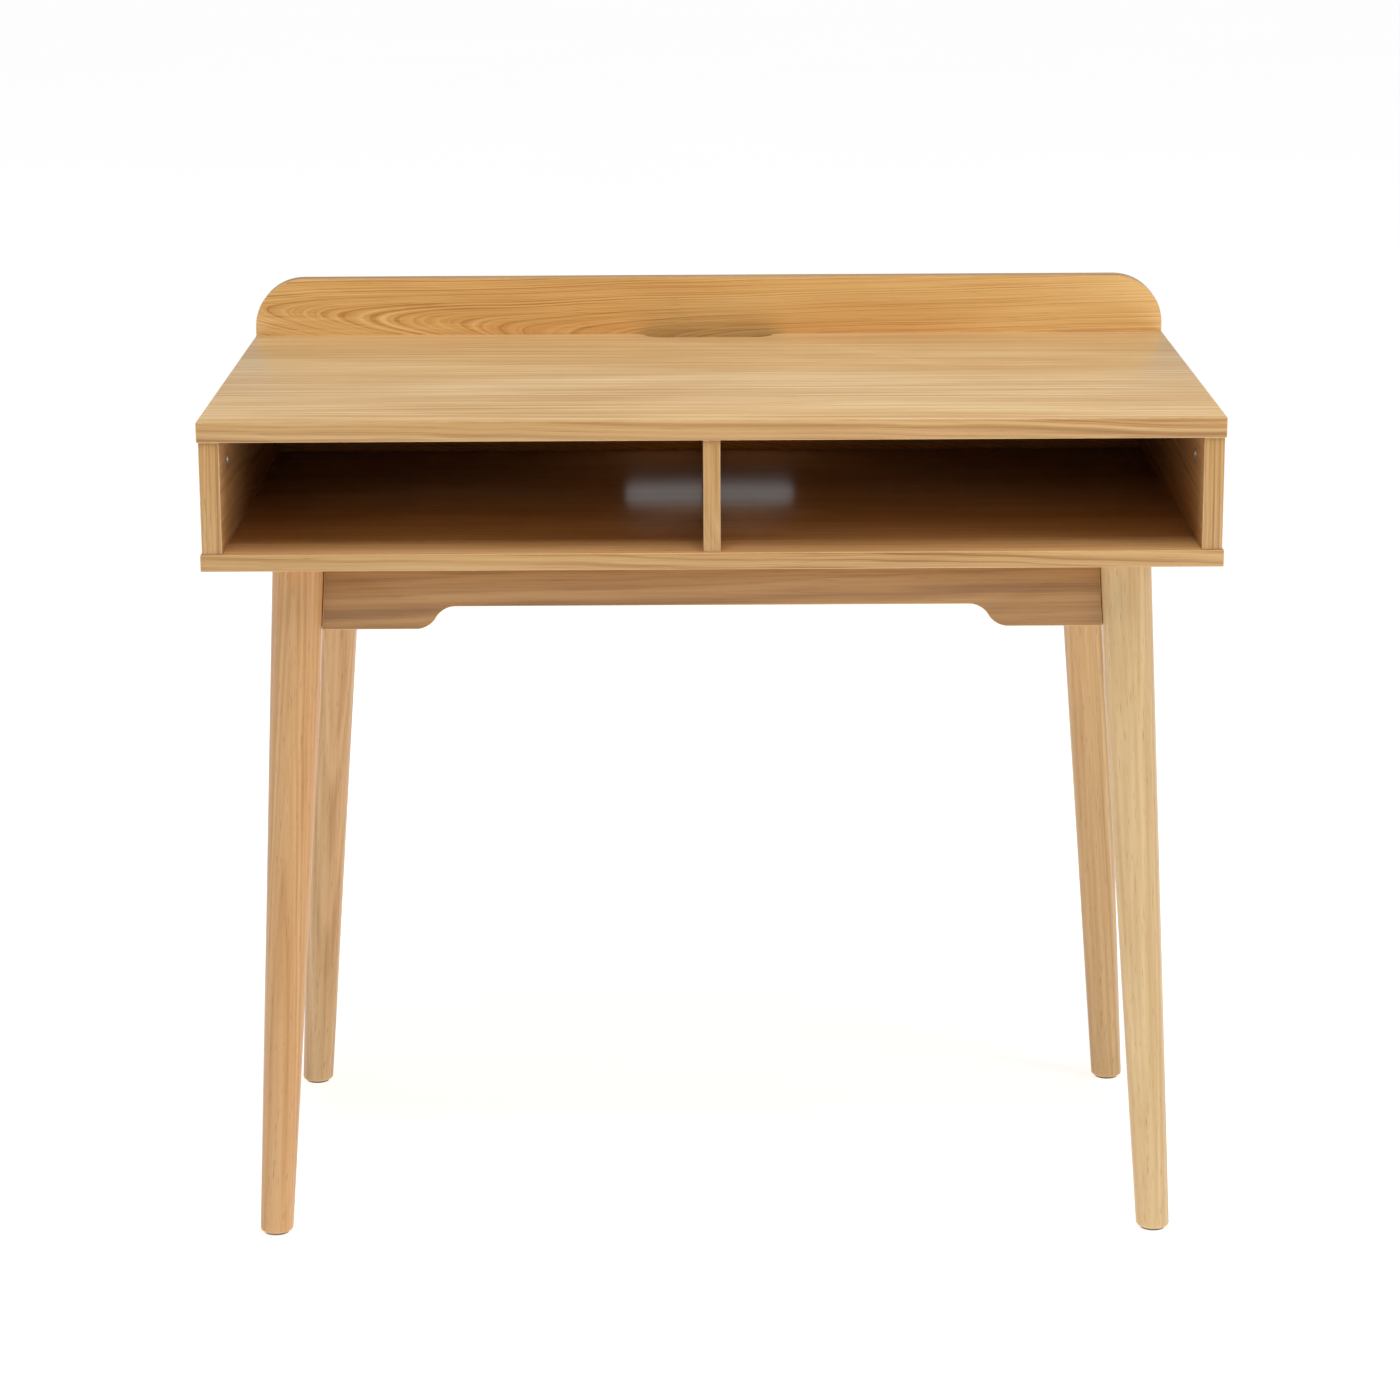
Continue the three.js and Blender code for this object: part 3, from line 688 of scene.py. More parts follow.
port_middle = (base_high.z + desk_low.z) / 2
port_low = port_middle - PORT_HEIGHT / 2
port_high = port_middle + PORT_HEIGHT / 2
back_outline = [
    (back_low.x, back_low.z, 0), (back_high.x, back_low.z, 0),
    (back_high.x, back_high.z, UPSTAND_RADIUS), (back_low.x, back_high.z, UPSTAND_RADIUS),
]
port_outline = [
    (u, v, PORT_RADIUS) for u, v, tangent in
    rectangle(-PORT_WIDTH / 2, port_low, PORT_WIDTH / 2, port_high)
]
back_bm = bmesh.new()
outline_face(back_bm, back_outline, "y", back_low.y)
outline_face(back_bm, port_outline, "y", back_low.y)
bmesh.ops.delete(back_bm, geom=list(back_bm.faces), context="FACES_ONLY")
bmesh.ops.triangle_fill(back_bm, edges=list(back_bm.edges), use_beauty=True)
back = finish_board(back_bm, "back_board", "back_board_print", "y", back_print)
drill(back, [(SCREW_HOLE, place, (0, -1, 0)) for place in back_screws.values()])
print("back_board_print", len(back.data.polygons), "faces")

# %% [markdown]
# ## The side panels and the divider
#
# Three upright boards stand between base and desktop. The two side panels each have a pair of bores in their
# inner faces for the cams. The grain of their faces runs from front to back, and the bands on their
# front edges are upright.

# %% Shape the upright boards
CAM_RADIUS = 7.2 * MM
CAM_DEPTH = 12.5 * MM
CAM_BORE = [(0, -HOLE_SPARE), (CAM_RADIUS + HOLE_SPARE, -HOLE_SPARE),
            (CAM_RADIUS + HOLE_SPARE, CAM_DEPTH + HOLE_SPARE), (0, CAM_DEPTH + HOLE_SPARE)]

cams = {}
for side, sign in (("left", -1), ("right", 1)):
    for end in ("front", "rear"):
        low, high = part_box(f"cam_{side}_{end}")
        middle = (low + high) / 2
        inner = low.x if sign > 0 else high.x
        cams[f"cam_{side}_{end}"] = (Vector((inner, middle.y, middle.z)), Vector((sign, 0, 0)))

uprights = {}
for node, centre in (("left_side_panel", (0.0, 0.4, 0.33)), ("right_side_panel", (0.2, 0.1, 0.9)),
                     ("centre_divider", (0.0, -0.3, 0.55))):
    low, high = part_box(node)
    face_print = board_print(node + "_print", "y", BOARD_TONES, centre=centre, pith=(0.05, 0.04),
                             taper=0.04, ring_width=0.004, ring_share=0.6)
    bm = outline_face(bmesh.new(), rectangle(low.y, low.z, high.y, high.z), "x", low.x)
    uprights[node] = finish_board(bm, node, node + "_board", "x", face_print)
for side in ("left", "right"):
    bores = [(CAM_BORE, *cams[name]) for name in cams if side in name]
    drill(uprights[side + "_side_panel"], bores)
print(len(uprights), "upright boards")

# %% [markdown]
# ## The aprons
#
# Four aprons stand under the base between the legs. Each has a long step cut out of its lower edge that ends
# in an ogee, and the ends of the long ones lean with the legs. They are darker than the boards above,
# partly by the painted shade of their darker print tones and partly because they stand in the shade.

# %% Shape the aprons
APRON_CUT_DEPTH = 20.5 * MM
LONG_SHOULDER = 85 * MM
SIDE_SHOULDER = 50 * MM
LEG_LEAN = 40 * MM
GLIDE_THICKNESS = 2.5 * MM
# Painted shade: the aprons' tones are darker than the other boards' of the same laminate, for the shade under
# the base's overhang.
APRON_SHADED_TONES = (tone(136, 93, 47), tone(172, 125, 69), tone(192, 147, 90))

leg_top = base_low.z
lean_per_height = LEG_LEAN / (leg_top - GLIDE_THICKNESS)


def apron_outline(low_u, high_u, low_v, high_v, narrower_top, shoulder):
    """An apron's outline. Its widest line is the bottom one."""
    left = ogee(low_u + shoulder, low_v, OGEE_WIDTH, APRON_CUT_DEPTH)
    right = [(-u, v, tangent) for u, v, tangent in reversed(left)]
    return [
        (low_u + narrower_top, high_v, 0), (low_u, low_v, 0), (low_u + shoulder, low_v, 0), *left,
        (low_u + shoulder + OGEE_WIDTH, low_v + APRON_CUT_DEPTH, 0),
        (high_u - shoulder - OGEE_WIDTH, low_v + APRON_CUT_DEPTH, 0), *right,
        (high_u - shoulder, low_v, 0), (high_u, low_v, 0), (high_u - narrower_top, high_v, 0),
    ]


for node, along, across, shoulder, centre in (
        ("front_apron", "x", "y", LONG_SHOULDER, (0.1, 0.2, 0.62)),
        ("rear_apron", "x", "y", LONG_SHOULDER, (-0.4, 0.1, 0.55)),
        ("left_apron", "y", "x", SIDE_SHOULDER, (0.0, 0.5, 0.60)),
        ("right_apron", "y", "x", SIDE_SHOULDER, (0.3, 0.7, 0.66))):
    low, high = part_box(node)
    u_axis, w_axis = AXES.index(along), AXES.index(across)
    narrower = (high.z - low.z) * lean_per_height if along == "x" else 0
    outline = apron_outline(low[u_axis], high[u_axis], low.z, high.z, narrower, shoulder)
    bm = outline_face(bmesh.new(), outline, across, low[w_axis])
    face_print = board_print(node + "_print", along, APRON_SHADED_TONES, centre=centre, pith=(0.12, 0.09),
                             taper=0.006, waver=0.005, ring_width=0.0021, ring_share=0.8)
    apron = finish_board(bm, node, node + "_board", across, face_print)
    print(apron.name, len(apron.data.polygons), "faces")

# %% [markdown]
# ## The wood of the legs
#
# The legs are turned from solid rubberwood, pale and open-grained, under the same satin lacquer. Each leg is
# its own stick with its own pith line, so the figure differs: one is orange-brown with pointed arches,
# another is straight and pale yellow. The grain leans with the leg.

# %% Make the leg wood
VESSEL_BROWN = tone(138, 92, 54)
LEG_WAVER = 0.012
SHADE_SHARE = 0.6


def turned_wood(name, foot, lean, tones, pith, taper, ring_width, ring_share, streak_share):
    """Solid lacquered wood whose grain runs up a leaning leg."""
    material, tree, shader = new_material(name)
    space = grain_space(tree, "z", foot, lean)
    rings = growth_rings(tree, space, pith, (0, 0), taper, LEG_WAVER, ring_width)
    grain = swing(tree, rings, ring_share)
    streaks = swing(tree, fibres(tree, space, 5, 260), streak_share)
    shades = swing(tree, fibres(tree, space, 1.6, 26, 2.0), SHADE_SHARE)
    light = maths(tree, "ADD", maths(tree, "ADD", grain, streaks), shades)
    brown = mix_colours(tree, remap(tree, light, -0.30, 0.0), tones[0], tones[1])
    colour = mix_colours(tree, remap(tree, light, 0.0, 0.30), brown, tones[2])
    vessels = remap(tree, fibres(tree, space, 45, 1300, 1.5), 0.63, 0.72)
    colour = mix_colours(tree, maths(tree, "MULTIPLY", vessels, 0.55), colour, VESSEL_BROWN)
    paint(tree, shader, colour, remap(tree, light, -0.3, 0.3, 0.44, 0.34))
    height = maths(tree, "SUBTRACT", maths(tree, "MULTIPLY", rings, 0.3), vessels)
    press(tree, shader, height, 0.1 * MM, 0.3)
    shader.inputs["Specular IOR Level"].default_value = 0.45
    return material


LEG_LOOKS = {
    "front_left": {
        "tones": (tone(168, 112, 60), tone(202, 152, 96), tone(220, 180, 128)), "pith": (-0.034, 0.004),
        "taper": 0.035, "ring_width": 0.0045, "ring_share": 0.65, "streak_share": 0.35},
    "front_right": {
        "tones": (tone(188, 145, 90), tone(208, 174, 122), tone(226, 199, 150)), "pith": (0.120, -0.060),
        "taper": 0.010, "ring_width": 0.0080, "ring_share": 0.60, "streak_share": 0.45},
    "rear_left": {
        "tones": (tone(172, 124, 76), tone(214, 172, 120), tone(232, 196, 146)), "pith": (0.060, 0.020),
        "taper": 0.020, "ring_width": 0.0050, "ring_share": 0.50, "streak_share": 0.60},
    "rear_right": {
        "tones": (tone(176, 128, 74), tone(208, 168, 114), tone(226, 192, 140)), "pith": (-0.050, 0.045),
        "taper": 0.025, "ring_width": 0.0055, "ring_share": 0.55, "streak_share": 0.55},
}
print(len(LEG_LOOKS), "leg looks")

# %% [markdown]
# ## The legs
#
# A leg is a slim cone. A cone operator makes it, loop cuts add rings along it, and a bevel rounds the foot.
# Near the top two flats are milled, where the aprons meet it; the round cutter leaves a long run-out below
# them. Moving every point that stands outside the cutter's path back onto it mills the flat. Last,
# the whole upright leg is sheared sideways, so that it leans while top and foot stay level.

# %% Turn, mill and lean the legs
LEG_TOP_RADIUS = 24.5 * MM
LEG_FOOT_RADIUS = 15.25 * MM
LEG_FLAT = 21.7 * MM
LEG_FLAT_LENGTH = 90 * MM
CUTTER_RADIUS = 400 * MM
FOOT_ROUNDING = 2.5 * MM
TOP_ARRIS = 0.6 * MM
FOOT_STEPS = 6
TOUCHING = 0.001 * MM
LEG_SEGMENTS = 120
LEG_RINGS = 90
CORNERS = [(f"{end}_{side}", sx, sy) for end, sy in (("front", -1), ("rear", 1))
           for side, sx in (("left", -1), ("right", 1))]
leg_height = leg_top - GLIDE_THICKNESS
leg_axis_y = (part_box("front_apron")[1].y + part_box("front_apron")[0].y) / -2


def cutter_limit(height):
    """How far from the leg's axis the cutter's path lies, at a height above the foot."""
    below = leg_height - LEG_FLAT_LENGTH - height
    if below <= 0:
        return LEG_FLAT
    return LEG_FLAT + CUTTER_RADIUS * (1 - math.cos(math.asin(min(below / CUTTER_RADIUS, 1))))


def turned_leg(sx, sy, foot):
    """One leg, upright and then leant. Its flats face the aprons."""
    bm = bmesh.new()
    bmesh.ops.create_cone(bm, cap_ends=True, segments=LEG_SEGMENTS, radius1=LEG_FOOT_RADIUS,
                          radius2=LEG_TOP_RADIUS, depth=leg_height)
    bmesh.ops.translate(bm, verts=bm.verts, vec=(0, 0, leg_height / 2))
    upright = [e for e in bm.edges if abs(e.verts[0].co.z - e.verts[1].co.z) > leg_height / 2]
    bmesh.ops.subdivide_edges(bm, edges=upright, cuts=LEG_RINGS, use_grid_fill=True)
    foot_rim = [e for e in bm.edges if max(v.co.z for v in e.verts) < TOUCHING]
    top_rim = [e for e in bm.edges if min(v.co.z for v in e.verts) > leg_height - TOUCHING]
    bevel_edges(bm, foot_rim, FOOT_ROUNDING, FOOT_STEPS)
    bevel_edges(bm, top_rim, TOP_ARRIS, ARRIS_STEPS)
    for vert in bm.verts:
        limit = cutter_limit(vert.co.z)
        vert.co.x = -sx * min(-sx * vert.co.x, limit)
        vert.co.y = -sy * min(-sy * vert.co.y, limit)
    lean = Matrix.Identity(4)
    lean[0][2] = -sx * lean_per_height
    bmesh.ops.transform(bm, matrix=Matrix.Translation(foot) @ lean, verts=bm.verts)
    return tidy_solid(bm)


foot_x = (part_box("front_right_glide")[0].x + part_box("front_right_glide")[1].x) / 2
for corner, sx, sy in CORNERS:
    foot = Vector((sx * foot_x, sy * leg_axis_y, GLIDE_THICKNESS))
    lean = -sx * math.atan(lean_per_height)
    wood = turned_wood(corner + "_leg_wood", foot, lean, **LEG_LOOKS[corner])
    leg = place_piece(corner + "_turned_leg", turned_leg(sx, sy, foot), [wood], "leg_wood", corner + "_leg")
    print(leg.name, len(leg.data.polygons), "faces")

# %% [markdown]
# ## The glides
#
# A hard plastic glide with a nail is tapped into the end of each leg, so that the desk slides without
# chipping. Only its thin rim shows. It is a lathe-turned disc with a rounded lower edge and a slightly
# hollow underside, in a speckled grey-brown plastic.

# %% Turn the glides
glide_material, glide_tree, glide_shader = new_material("glide_plastic")
glide_specks = specks(glide_tree, 900)
glide_colour = mix_colours(glide_tree, glide_specks, tone(96, 88, 80), tone(128, 119, 108))
paint(glide_tree, glide_shader, glide_colour, remap(glide_tree, glide_specks, 0.3, 0.7, 0.45, 0.65))

GLIDE_RADIUS = 11.5 * MM
GLIDE_EDGE = 0.8 * MM
NAIL_RADIUS = 1.25 * MM
NAIL_LENGTH = 15 * MM
GLIDE_HOLLOW = 0.3 * MM
GLIDE_RIM = 3 * MM
GLIDE_SLOPE = 0.5 * MM
GLIDE_PROFILE = [
    (0, GLIDE_HOLLOW), (GLIDE_RADIUS - GLIDE_RIM - GLIDE_SLOPE, GLIDE_HOLLOW), (GLIDE_RADIUS - GLIDE_RIM, 0),
    (GLIDE_RADIUS - GLIDE_EDGE, 0), (GLIDE_RADIUS - 0.25 * GLIDE_EDGE, 0.3 * GLIDE_EDGE),
    (GLIDE_RADIUS, GLIDE_EDGE), (GLIDE_RADIUS, GLIDE_THICKNESS), (NAIL_RADIUS, GLIDE_THICKNESS),
    (NAIL_RADIUS, GLIDE_THICKNESS + NAIL_LENGTH - 2 * NAIL_RADIUS), (0, GLIDE_THICKNESS + NAIL_LENGTH),
]
for corner, sx, sy in CORNERS:
    bm = bmesh.new()
    lathe(bm, GLIDE_PROFILE, Vector((sx * foot_x, sy * leg_axis_y, 0)), UP, FINE_ROUND)
    place_piece(corner + "_nail_glide", tidy_solid(bm), [glide_material], "glide_plastic",
                corner + "_glide")
print("four glides")

# %% [markdown]
# ## Zinc-plated steel
#
# All the steel is bright zinc. Plating has a faint blue-yellow cast in soft patches, fine marks from
# tumbling, and sheet parts are duller than screws. Two finishes share one recipe: the roughness and the
# scale of the marks differ.

# %% Make the zinc finishes
MARK_DEPTH = 0.05 * MM


def zinc(name, dark, pale, marks_per_metre, smooth, rough):
    """Zinc plating with cloudy tone and fine tumbling marks."""
    material, tree, shader = new_material(name)
    marks = specks(tree, marks_per_metre, 5.0, 0.7)
    shade = maths(tree, "ADD", maths(tree, "MULTIPLY", specks(tree, 70), 0.6),
                  maths(tree, "MULTIPLY", marks, 0.4))
    colour = mix_colours(tree, remap(tree, shade, 0.35, 0.65), dark, pale)
    paint(tree, shader, colour, remap(tree, shade, 0.35, 0.65, rough, smooth))
    press(tree, shader, marks, MARK_DEPTH, 0.15)
    shader.inputs["Metallic"].default_value = 1.0
    return material


screw_zinc = zinc("screw_zinc", tone(168, 172, 172), tone(206, 208, 204), 1400, 0.24, 0.38)
sheet_zinc = zinc("sheet_zinc", tone(150, 154, 156), tone(188, 190, 188), 500, 0.36, 0.52)
cam_zinc = zinc("cam_zinc", tone(176, 176, 172), tone(208, 206, 198), 900, 0.34, 0.5)
print("three zinc finishes")

# %% [markdown]
# ## Corner brackets
#
# In each corner a pressed steel bracket spans the two aprons, and the hanger bolt pulls the leg into the
# corner against it. The bracket is one strip with two bends. A strip could be thickened from a line with the
# solidify operator, but then its faces move with the side that solidify picks. Drawn in plan as a closed
# outline, with every face in its true place, it is pulled upright like a board. Holes are then cut for the
# bolt and the four screws.

# %% Bend and pierce the corner brackets
SHEET = 2.0 * MM
BRACKET_GAP = 0.3 * MM
BEND_RADIUS = 3.0 * MM
SHEET_ARRIS = 0.25 * MM
SCREW_HOLE_RADIUS = 2.3 * MM
BRACKET_SCREW_SPREAD = 24 * MM
BOLT_RADIUS = 4.0 * MM
apron_half = (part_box("front_apron")[1].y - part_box("front_apron")[0].y) / 2
bracket_low, bracket_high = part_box("front_right_corner_bracket")
bracket_height = bracket_high.z - bracket_low.z
bracket_middle = (bracket_high.z + bracket_low.z) / 2
bracket_x = (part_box("right_apron")[0].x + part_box("right_apron")[1].x) / 2
web_reach = 38 * MM
flange_end = bracket_x - bracket_low.x


def bent_sheet(section, across, low, high):
    """Sheet steel with a bent section, pulled across from low to high, in one finish."""
    bm = outline_face(bmesh.new(), section, across, low)
    raise_board(bm, across, low, high, SHEET_ARRIS)
    for face in bm.faces:
        face.material_index = 0
    return tidy_solid(bm)


def pierce(piece, holes, metal):
    """Cuts round holes through sheet steel, each (radius, place, direction), and keeps its finish."""
    deep = 4 * SHEET
    punches = [([(0, -deep), (radius, -deep), (radius, deep), (0, deep)], place, direction)
               for radius, place, direction in holes]
    drill(piece, punches, metal)


def bracket_frame(sx, sy):
    """Takes a bracket drawn about the leg's axis, in the corner where x and y are positive, to its own."""
    place = Vector((sx * bracket_x, sy * leg_axis_y, bracket_middle))
    return Matrix.Translation(place) @ Matrix.Diagonal((sx, sy, 1, 1))


near_face = apron_half + BRACKET_GAP
far_face = near_face + SHEET
bend_shift = SHEET * math.tan(math.pi / 8)
inner_bend = BEND_RADIUS * math.tan(math.pi / 8)
outer_bend = (BEND_RADIUS + SHEET) * math.tan(math.pi / 8)
half_plan = [
    (-near_face, -flange_end, 0), (-near_face, -web_reach, outer_bend),
    (-far_face, -web_reach - bend_shift, inner_bend), (-far_face, -flange_end, 0),
]
bracket_plan = [
    *half_plan[:2], *[(v, u, tangent) for u, v, tangent in reversed(half_plan[:2])],
    *[(v, u, tangent) for u, v, tangent in reversed(half_plan[2:])], *half_plan[2:],
]
flange_middle = (web_reach + flange_end) / 2
web_middle = (web_reach + near_face) / 2
bracket_screws = {}
for corner, sx, sy in CORNERS:
    to_corner = bracket_frame(sx, sy)
    bm = bent_sheet(bracket_plan, "z", -bracket_height / 2, bracket_height / 2)
    bmesh.ops.transform(bm, matrix=to_corner, verts=bm.verts)
    bracket = place_piece(corner + "_bent_bracket", tidy_solid(bm), [sheet_zinc], "bracket_steel",
                          corner + "_corner_bracket")
    web_hole = to_corner @ Vector((-web_middle, -web_middle, 0))
    holes = [(BOLT_RADIUS + 2 * BRACKET_GAP, web_hole, Vector((sx, sy, 0)))]
    for level in (-1, 1):
        z = level * BRACKET_SCREW_SPREAD / 2
        for place, direction in ((Vector((-far_face, -flange_middle, z)), Vector((sx, 0, 0))),
                                 (Vector((-flange_middle, -far_face, z)), Vector((0, sy, 0)))):
            seat = to_corner @ place
            holes.append((SCREW_HOLE_RADIUS, seat, direction))
            bracket_screws[f"{corner}_corner_screw_{len(bracket_screws) % 4 + 1}"] = (seat, direction)
    pierce(bracket, holes, sheet_zinc)
print("four corner brackets,", len(bracket_screws), "screws to come")

# %% [markdown]
# ## Angle brackets
#
# Four small L-shaped brackets tie the long aprons to the base panel. Each is a strip with one bend, made the
# same way, but its outline is drawn as seen from the side and pulled along the apron.

# %% Bend and pierce the angle brackets
ANGLE_SCREW_SPREAD = 16 * MM

angle_screws = {}
for corner, sx, sy in CORNERS:
    low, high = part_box(corner + "_angle_bracket")
    wall, tip = (high.y, low.y) if sy > 0 else (low.y, high.y)
    reach = high.y - low.y
    section = [
        (wall, high.z, SHEET + BEND_RADIUS), (tip, high.z, 0), (tip, high.z - SHEET, 0),
        (wall - sy * SHEET, high.z - SHEET, BEND_RADIUS), (wall - sy * SHEET, low.z, 0), (wall, low.z, 0),
    ]
    bm = bent_sheet(section, "x", low.x, high.x)
    angle = place_piece(corner + "_bent_angle", bm, [sheet_zinc], "bracket_steel",
                        corner + "_angle_bracket")
    holes = []
    arm_middle = (reach + SHEET) / 2
    for step in (-1, 1):
        x = (low.x + high.x) / 2 + step * ANGLE_SCREW_SPREAD / 2
        under = Vector((x, wall - sy * arm_middle, high.z - SHEET))
        beside = Vector((x, wall - sy * SHEET, high.z - arm_middle))
        for seat, direction in ((under, Vector((0, 0, 1))), (beside, Vector((0, sy, 0)))):
            holes.append((SCREW_HOLE_RADIUS, seat, direction))
            angle_screws[f"{corner}_angle_screw_{len(angle_screws) % 4 + 1}"] = (seat, direction)
    pierce(angle, holes, sheet_zinc)
print("four angle brackets,", len(angle_screws), "screws to come")

# %% [markdown]
# ## Bracket screws
#
# Thirty-two small pan-head wood screws hold the brackets, four to each. One is made on the lathe: a domed
# head, a shank, a thread of sharp rings and a point. Its cross recess is pressed into the head with two
# crossed blades that taper. The finished screw is then copied to every hole.

# %% Turn one bracket screw
PAN_RADIUS = 3.7 * MM
PAN_HEIGHT = 2.2 * MM
PAN_SHANK = 1.6 * MM
PAN_LENGTH = 12 * MM
PAN_STEPS = 6
THREAD_DEPTH = 0.45 * MM
THREAD_PITCH = 1.3 * MM
TOOTH_CREST = 0.45
TOOTH_FOOT = 0.9
PAN_TEETH_FROM = 2.5 * MM
PAN_TIP = 2 * MM
FITTING_SMOOTH_BELOW = math.radians(35)


def thread_profile(start, end, core, depth, pitch):
    """The side of a thread, as a row of sharp teeth on a core."""
    points = []
    for tooth in range(int((end - start) / pitch)):
        at = start + tooth * pitch
        points += [(core, at), (core + depth, at + pitch * TOOTH_CREST), (core, at + pitch * TOOTH_FOOT)]
    return points


def press_cross(piece, top, half, width, depth, metal):
    """Presses a cross recess into the head of a piece that points up, and whose head lies at the bottom."""
    for angle in (0, math.pi / 2):
        bm = bmesh.new()
        blade = bmesh.ops.create_cube(bm, size=2.0)["verts"]
        bmesh.ops.scale(bm, verts=blade, vec=(half, width, depth))
        tip = [v for v in blade if v.co.z > 0]
        bmesh.ops.scale(bm, verts=tip, vec=(0.5, 0.6, 1))
        turn = Matrix.Translation((0, 0, top)) @ Matrix.Rotation(angle, 4, "Z")
        bmesh.ops.transform(bm, matrix=turn, verts=blade)
        subtract(piece, bm, metal)


def master(name, profile, metal, steps):
    """A turned fitting at the origin, pointing up. Its copies become the pieces."""
    bm = bmesh.new()
    lathe(bm, profile, ORIGIN, UP, steps)
    tidy_solid(bm)
    for face in bm.faces:
        face.smooth = abs(face.normal.z) < FLAT_NORMAL
    mesh = bpy.data.meshes.new(name)
    bm.to_mesh(mesh)
    bm.free()
    mesh.materials.append(metal)
    return add_object(name, mesh)


def copy_fitting(source, name, place, direction, slot, *nodes):
    """Copies a master to its place, pointing along a direction."""
    mesh = source.data.copy()
    mesh.transform(Matrix.Translation(place) @ towards(direction))
    mesh.set_sharp_from_angle(angle=FITTING_SMOOTH_BELOW)
    piece = add_object(name, mesh)
    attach(piece, "root")
    if nodes:
        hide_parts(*nodes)
    return piece


quarter = [math.radians(90 * i / PAN_STEPS) for i in range(1, PAN_STEPS + 1)]
pan_dome = [(PAN_RADIUS * math.sin(a), -PAN_HEIGHT * math.cos(a)) for a in quarter]
pan_teeth = thread_profile(PAN_TEETH_FROM, PAN_LENGTH - PAN_TIP, PAN_SHANK, THREAD_DEPTH, THREAD_PITCH)
pan_profile = [(0, -PAN_HEIGHT), *pan_dome, (PAN_SHANK, 0), *pan_teeth, (0, PAN_LENGTH)]
pan_screw = master("pan_screw", pan_profile, screw_zinc, COARSE_ROUND)
press_cross(pan_screw, -PAN_HEIGHT, 2.0 * MM, 0.45 * MM, 1.4 * MM, screw_zinc)
print("one screw of", len(pan_screw.data.polygons), "faces")

# %% Copy the screw to every bracket hole
for name, (seat, direction) in {**bracket_screws, **angle_screws}.items():
    copy_fitting(pan_screw, name, seat, direction, "zinc_steel")
bpy.data.objects.remove(pan_screw)
print(len(bracket_screws) + len(angle_screws), "bracket screws")

# %% [markdown]
# ## Hanger bolts and flange nuts
#
# A hanger bolt has a wood thread at one end, screwed into the leg, and a machine thread at the other, which
# comes through the bracket. A hexagon nut with a flange draws it tight. The nut starts as a
# six-sided cone operator, its corners are chamfered by a bevel of the top rim, and the flange is turned.

# %% Read where the bolts lie, and turn them
NUT_ACROSS = 13 * MM
NUT_HEIGHT = 8 * MM
NUT_FLANGE_RADIUS = 9 * MM
NUT_FLANGE_EDGE = 1.0 * MM
NUT_FLANGE_TOP = 2.4 * MM
NUT_CHAMFER = 0.8 * MM
NUT_BREAK = 0.3 * MM
NUT_SLOPE_RADIUS = 6.6 * MM
NUT_BORE_GAP = 0.2 * MM
NUT_BORE_FLARE = 0.9 * MM
MACHINE_PITCH = 1.25 * MM
MACHINE_DEPTH = 0.65 * MM
WOOD_PITCH = 3 * MM
WOOD_DEPTH = 0.9 * MM
WOOD_LENGTH = 34 * MM
BARE_LENGTH = 3 * MM
BOLT_END = 0.6 * MM
BOLT_CHAMFER = 0.5 * MM


def diagonal_reach(node, sx, sy):
    """How far a node reaches along the diagonal from a leg's corner, near end and far end."""
    corner_point = Vector((sx * bracket_x, sy * leg_axis_y, bracket_middle))
    inward = Vector((-sx, -sy, 0)).normalized()
    along = [(v.co - corner_point).dot(inward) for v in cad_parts[node].data.vertices]
    return corner_point, inward, min(along), max(along)


for corner, sx, sy in CORNERS:
    corner_point, inward, start, end = diagonal_reach(corner + "_hanger_bolt", sx, sy)
    length = end - start
    core = BOLT_RADIUS - MACHINE_DEPTH
    profile = [
        (0, 0), (BOLT_RADIUS / 2, BOLT_RADIUS),
        *thread_profile(BOLT_RADIUS * 1.2, WOOD_LENGTH, BOLT_RADIUS - WOOD_DEPTH, WOOD_DEPTH, WOOD_PITCH),
        (BOLT_RADIUS, WOOD_LENGTH), (BOLT_RADIUS, WOOD_LENGTH + BARE_LENGTH),
        *thread_profile(WOOD_LENGTH + BARE_LENGTH, length - 1 * MM, core, MACHINE_DEPTH, MACHINE_PITCH),
        (core, length - BOLT_END), (core - BOLT_CHAMFER, length), (0, length),
    ]
    bolt = master("bolt", profile, screw_zinc, ROUND)
    copy_fitting(bolt, corner + "_threaded_bolt", corner_point + inward * start, inward, "zinc_steel",
                 corner + "_hanger_bolt")
    bpy.data.objects.remove(bolt)
print("four hanger bolts")


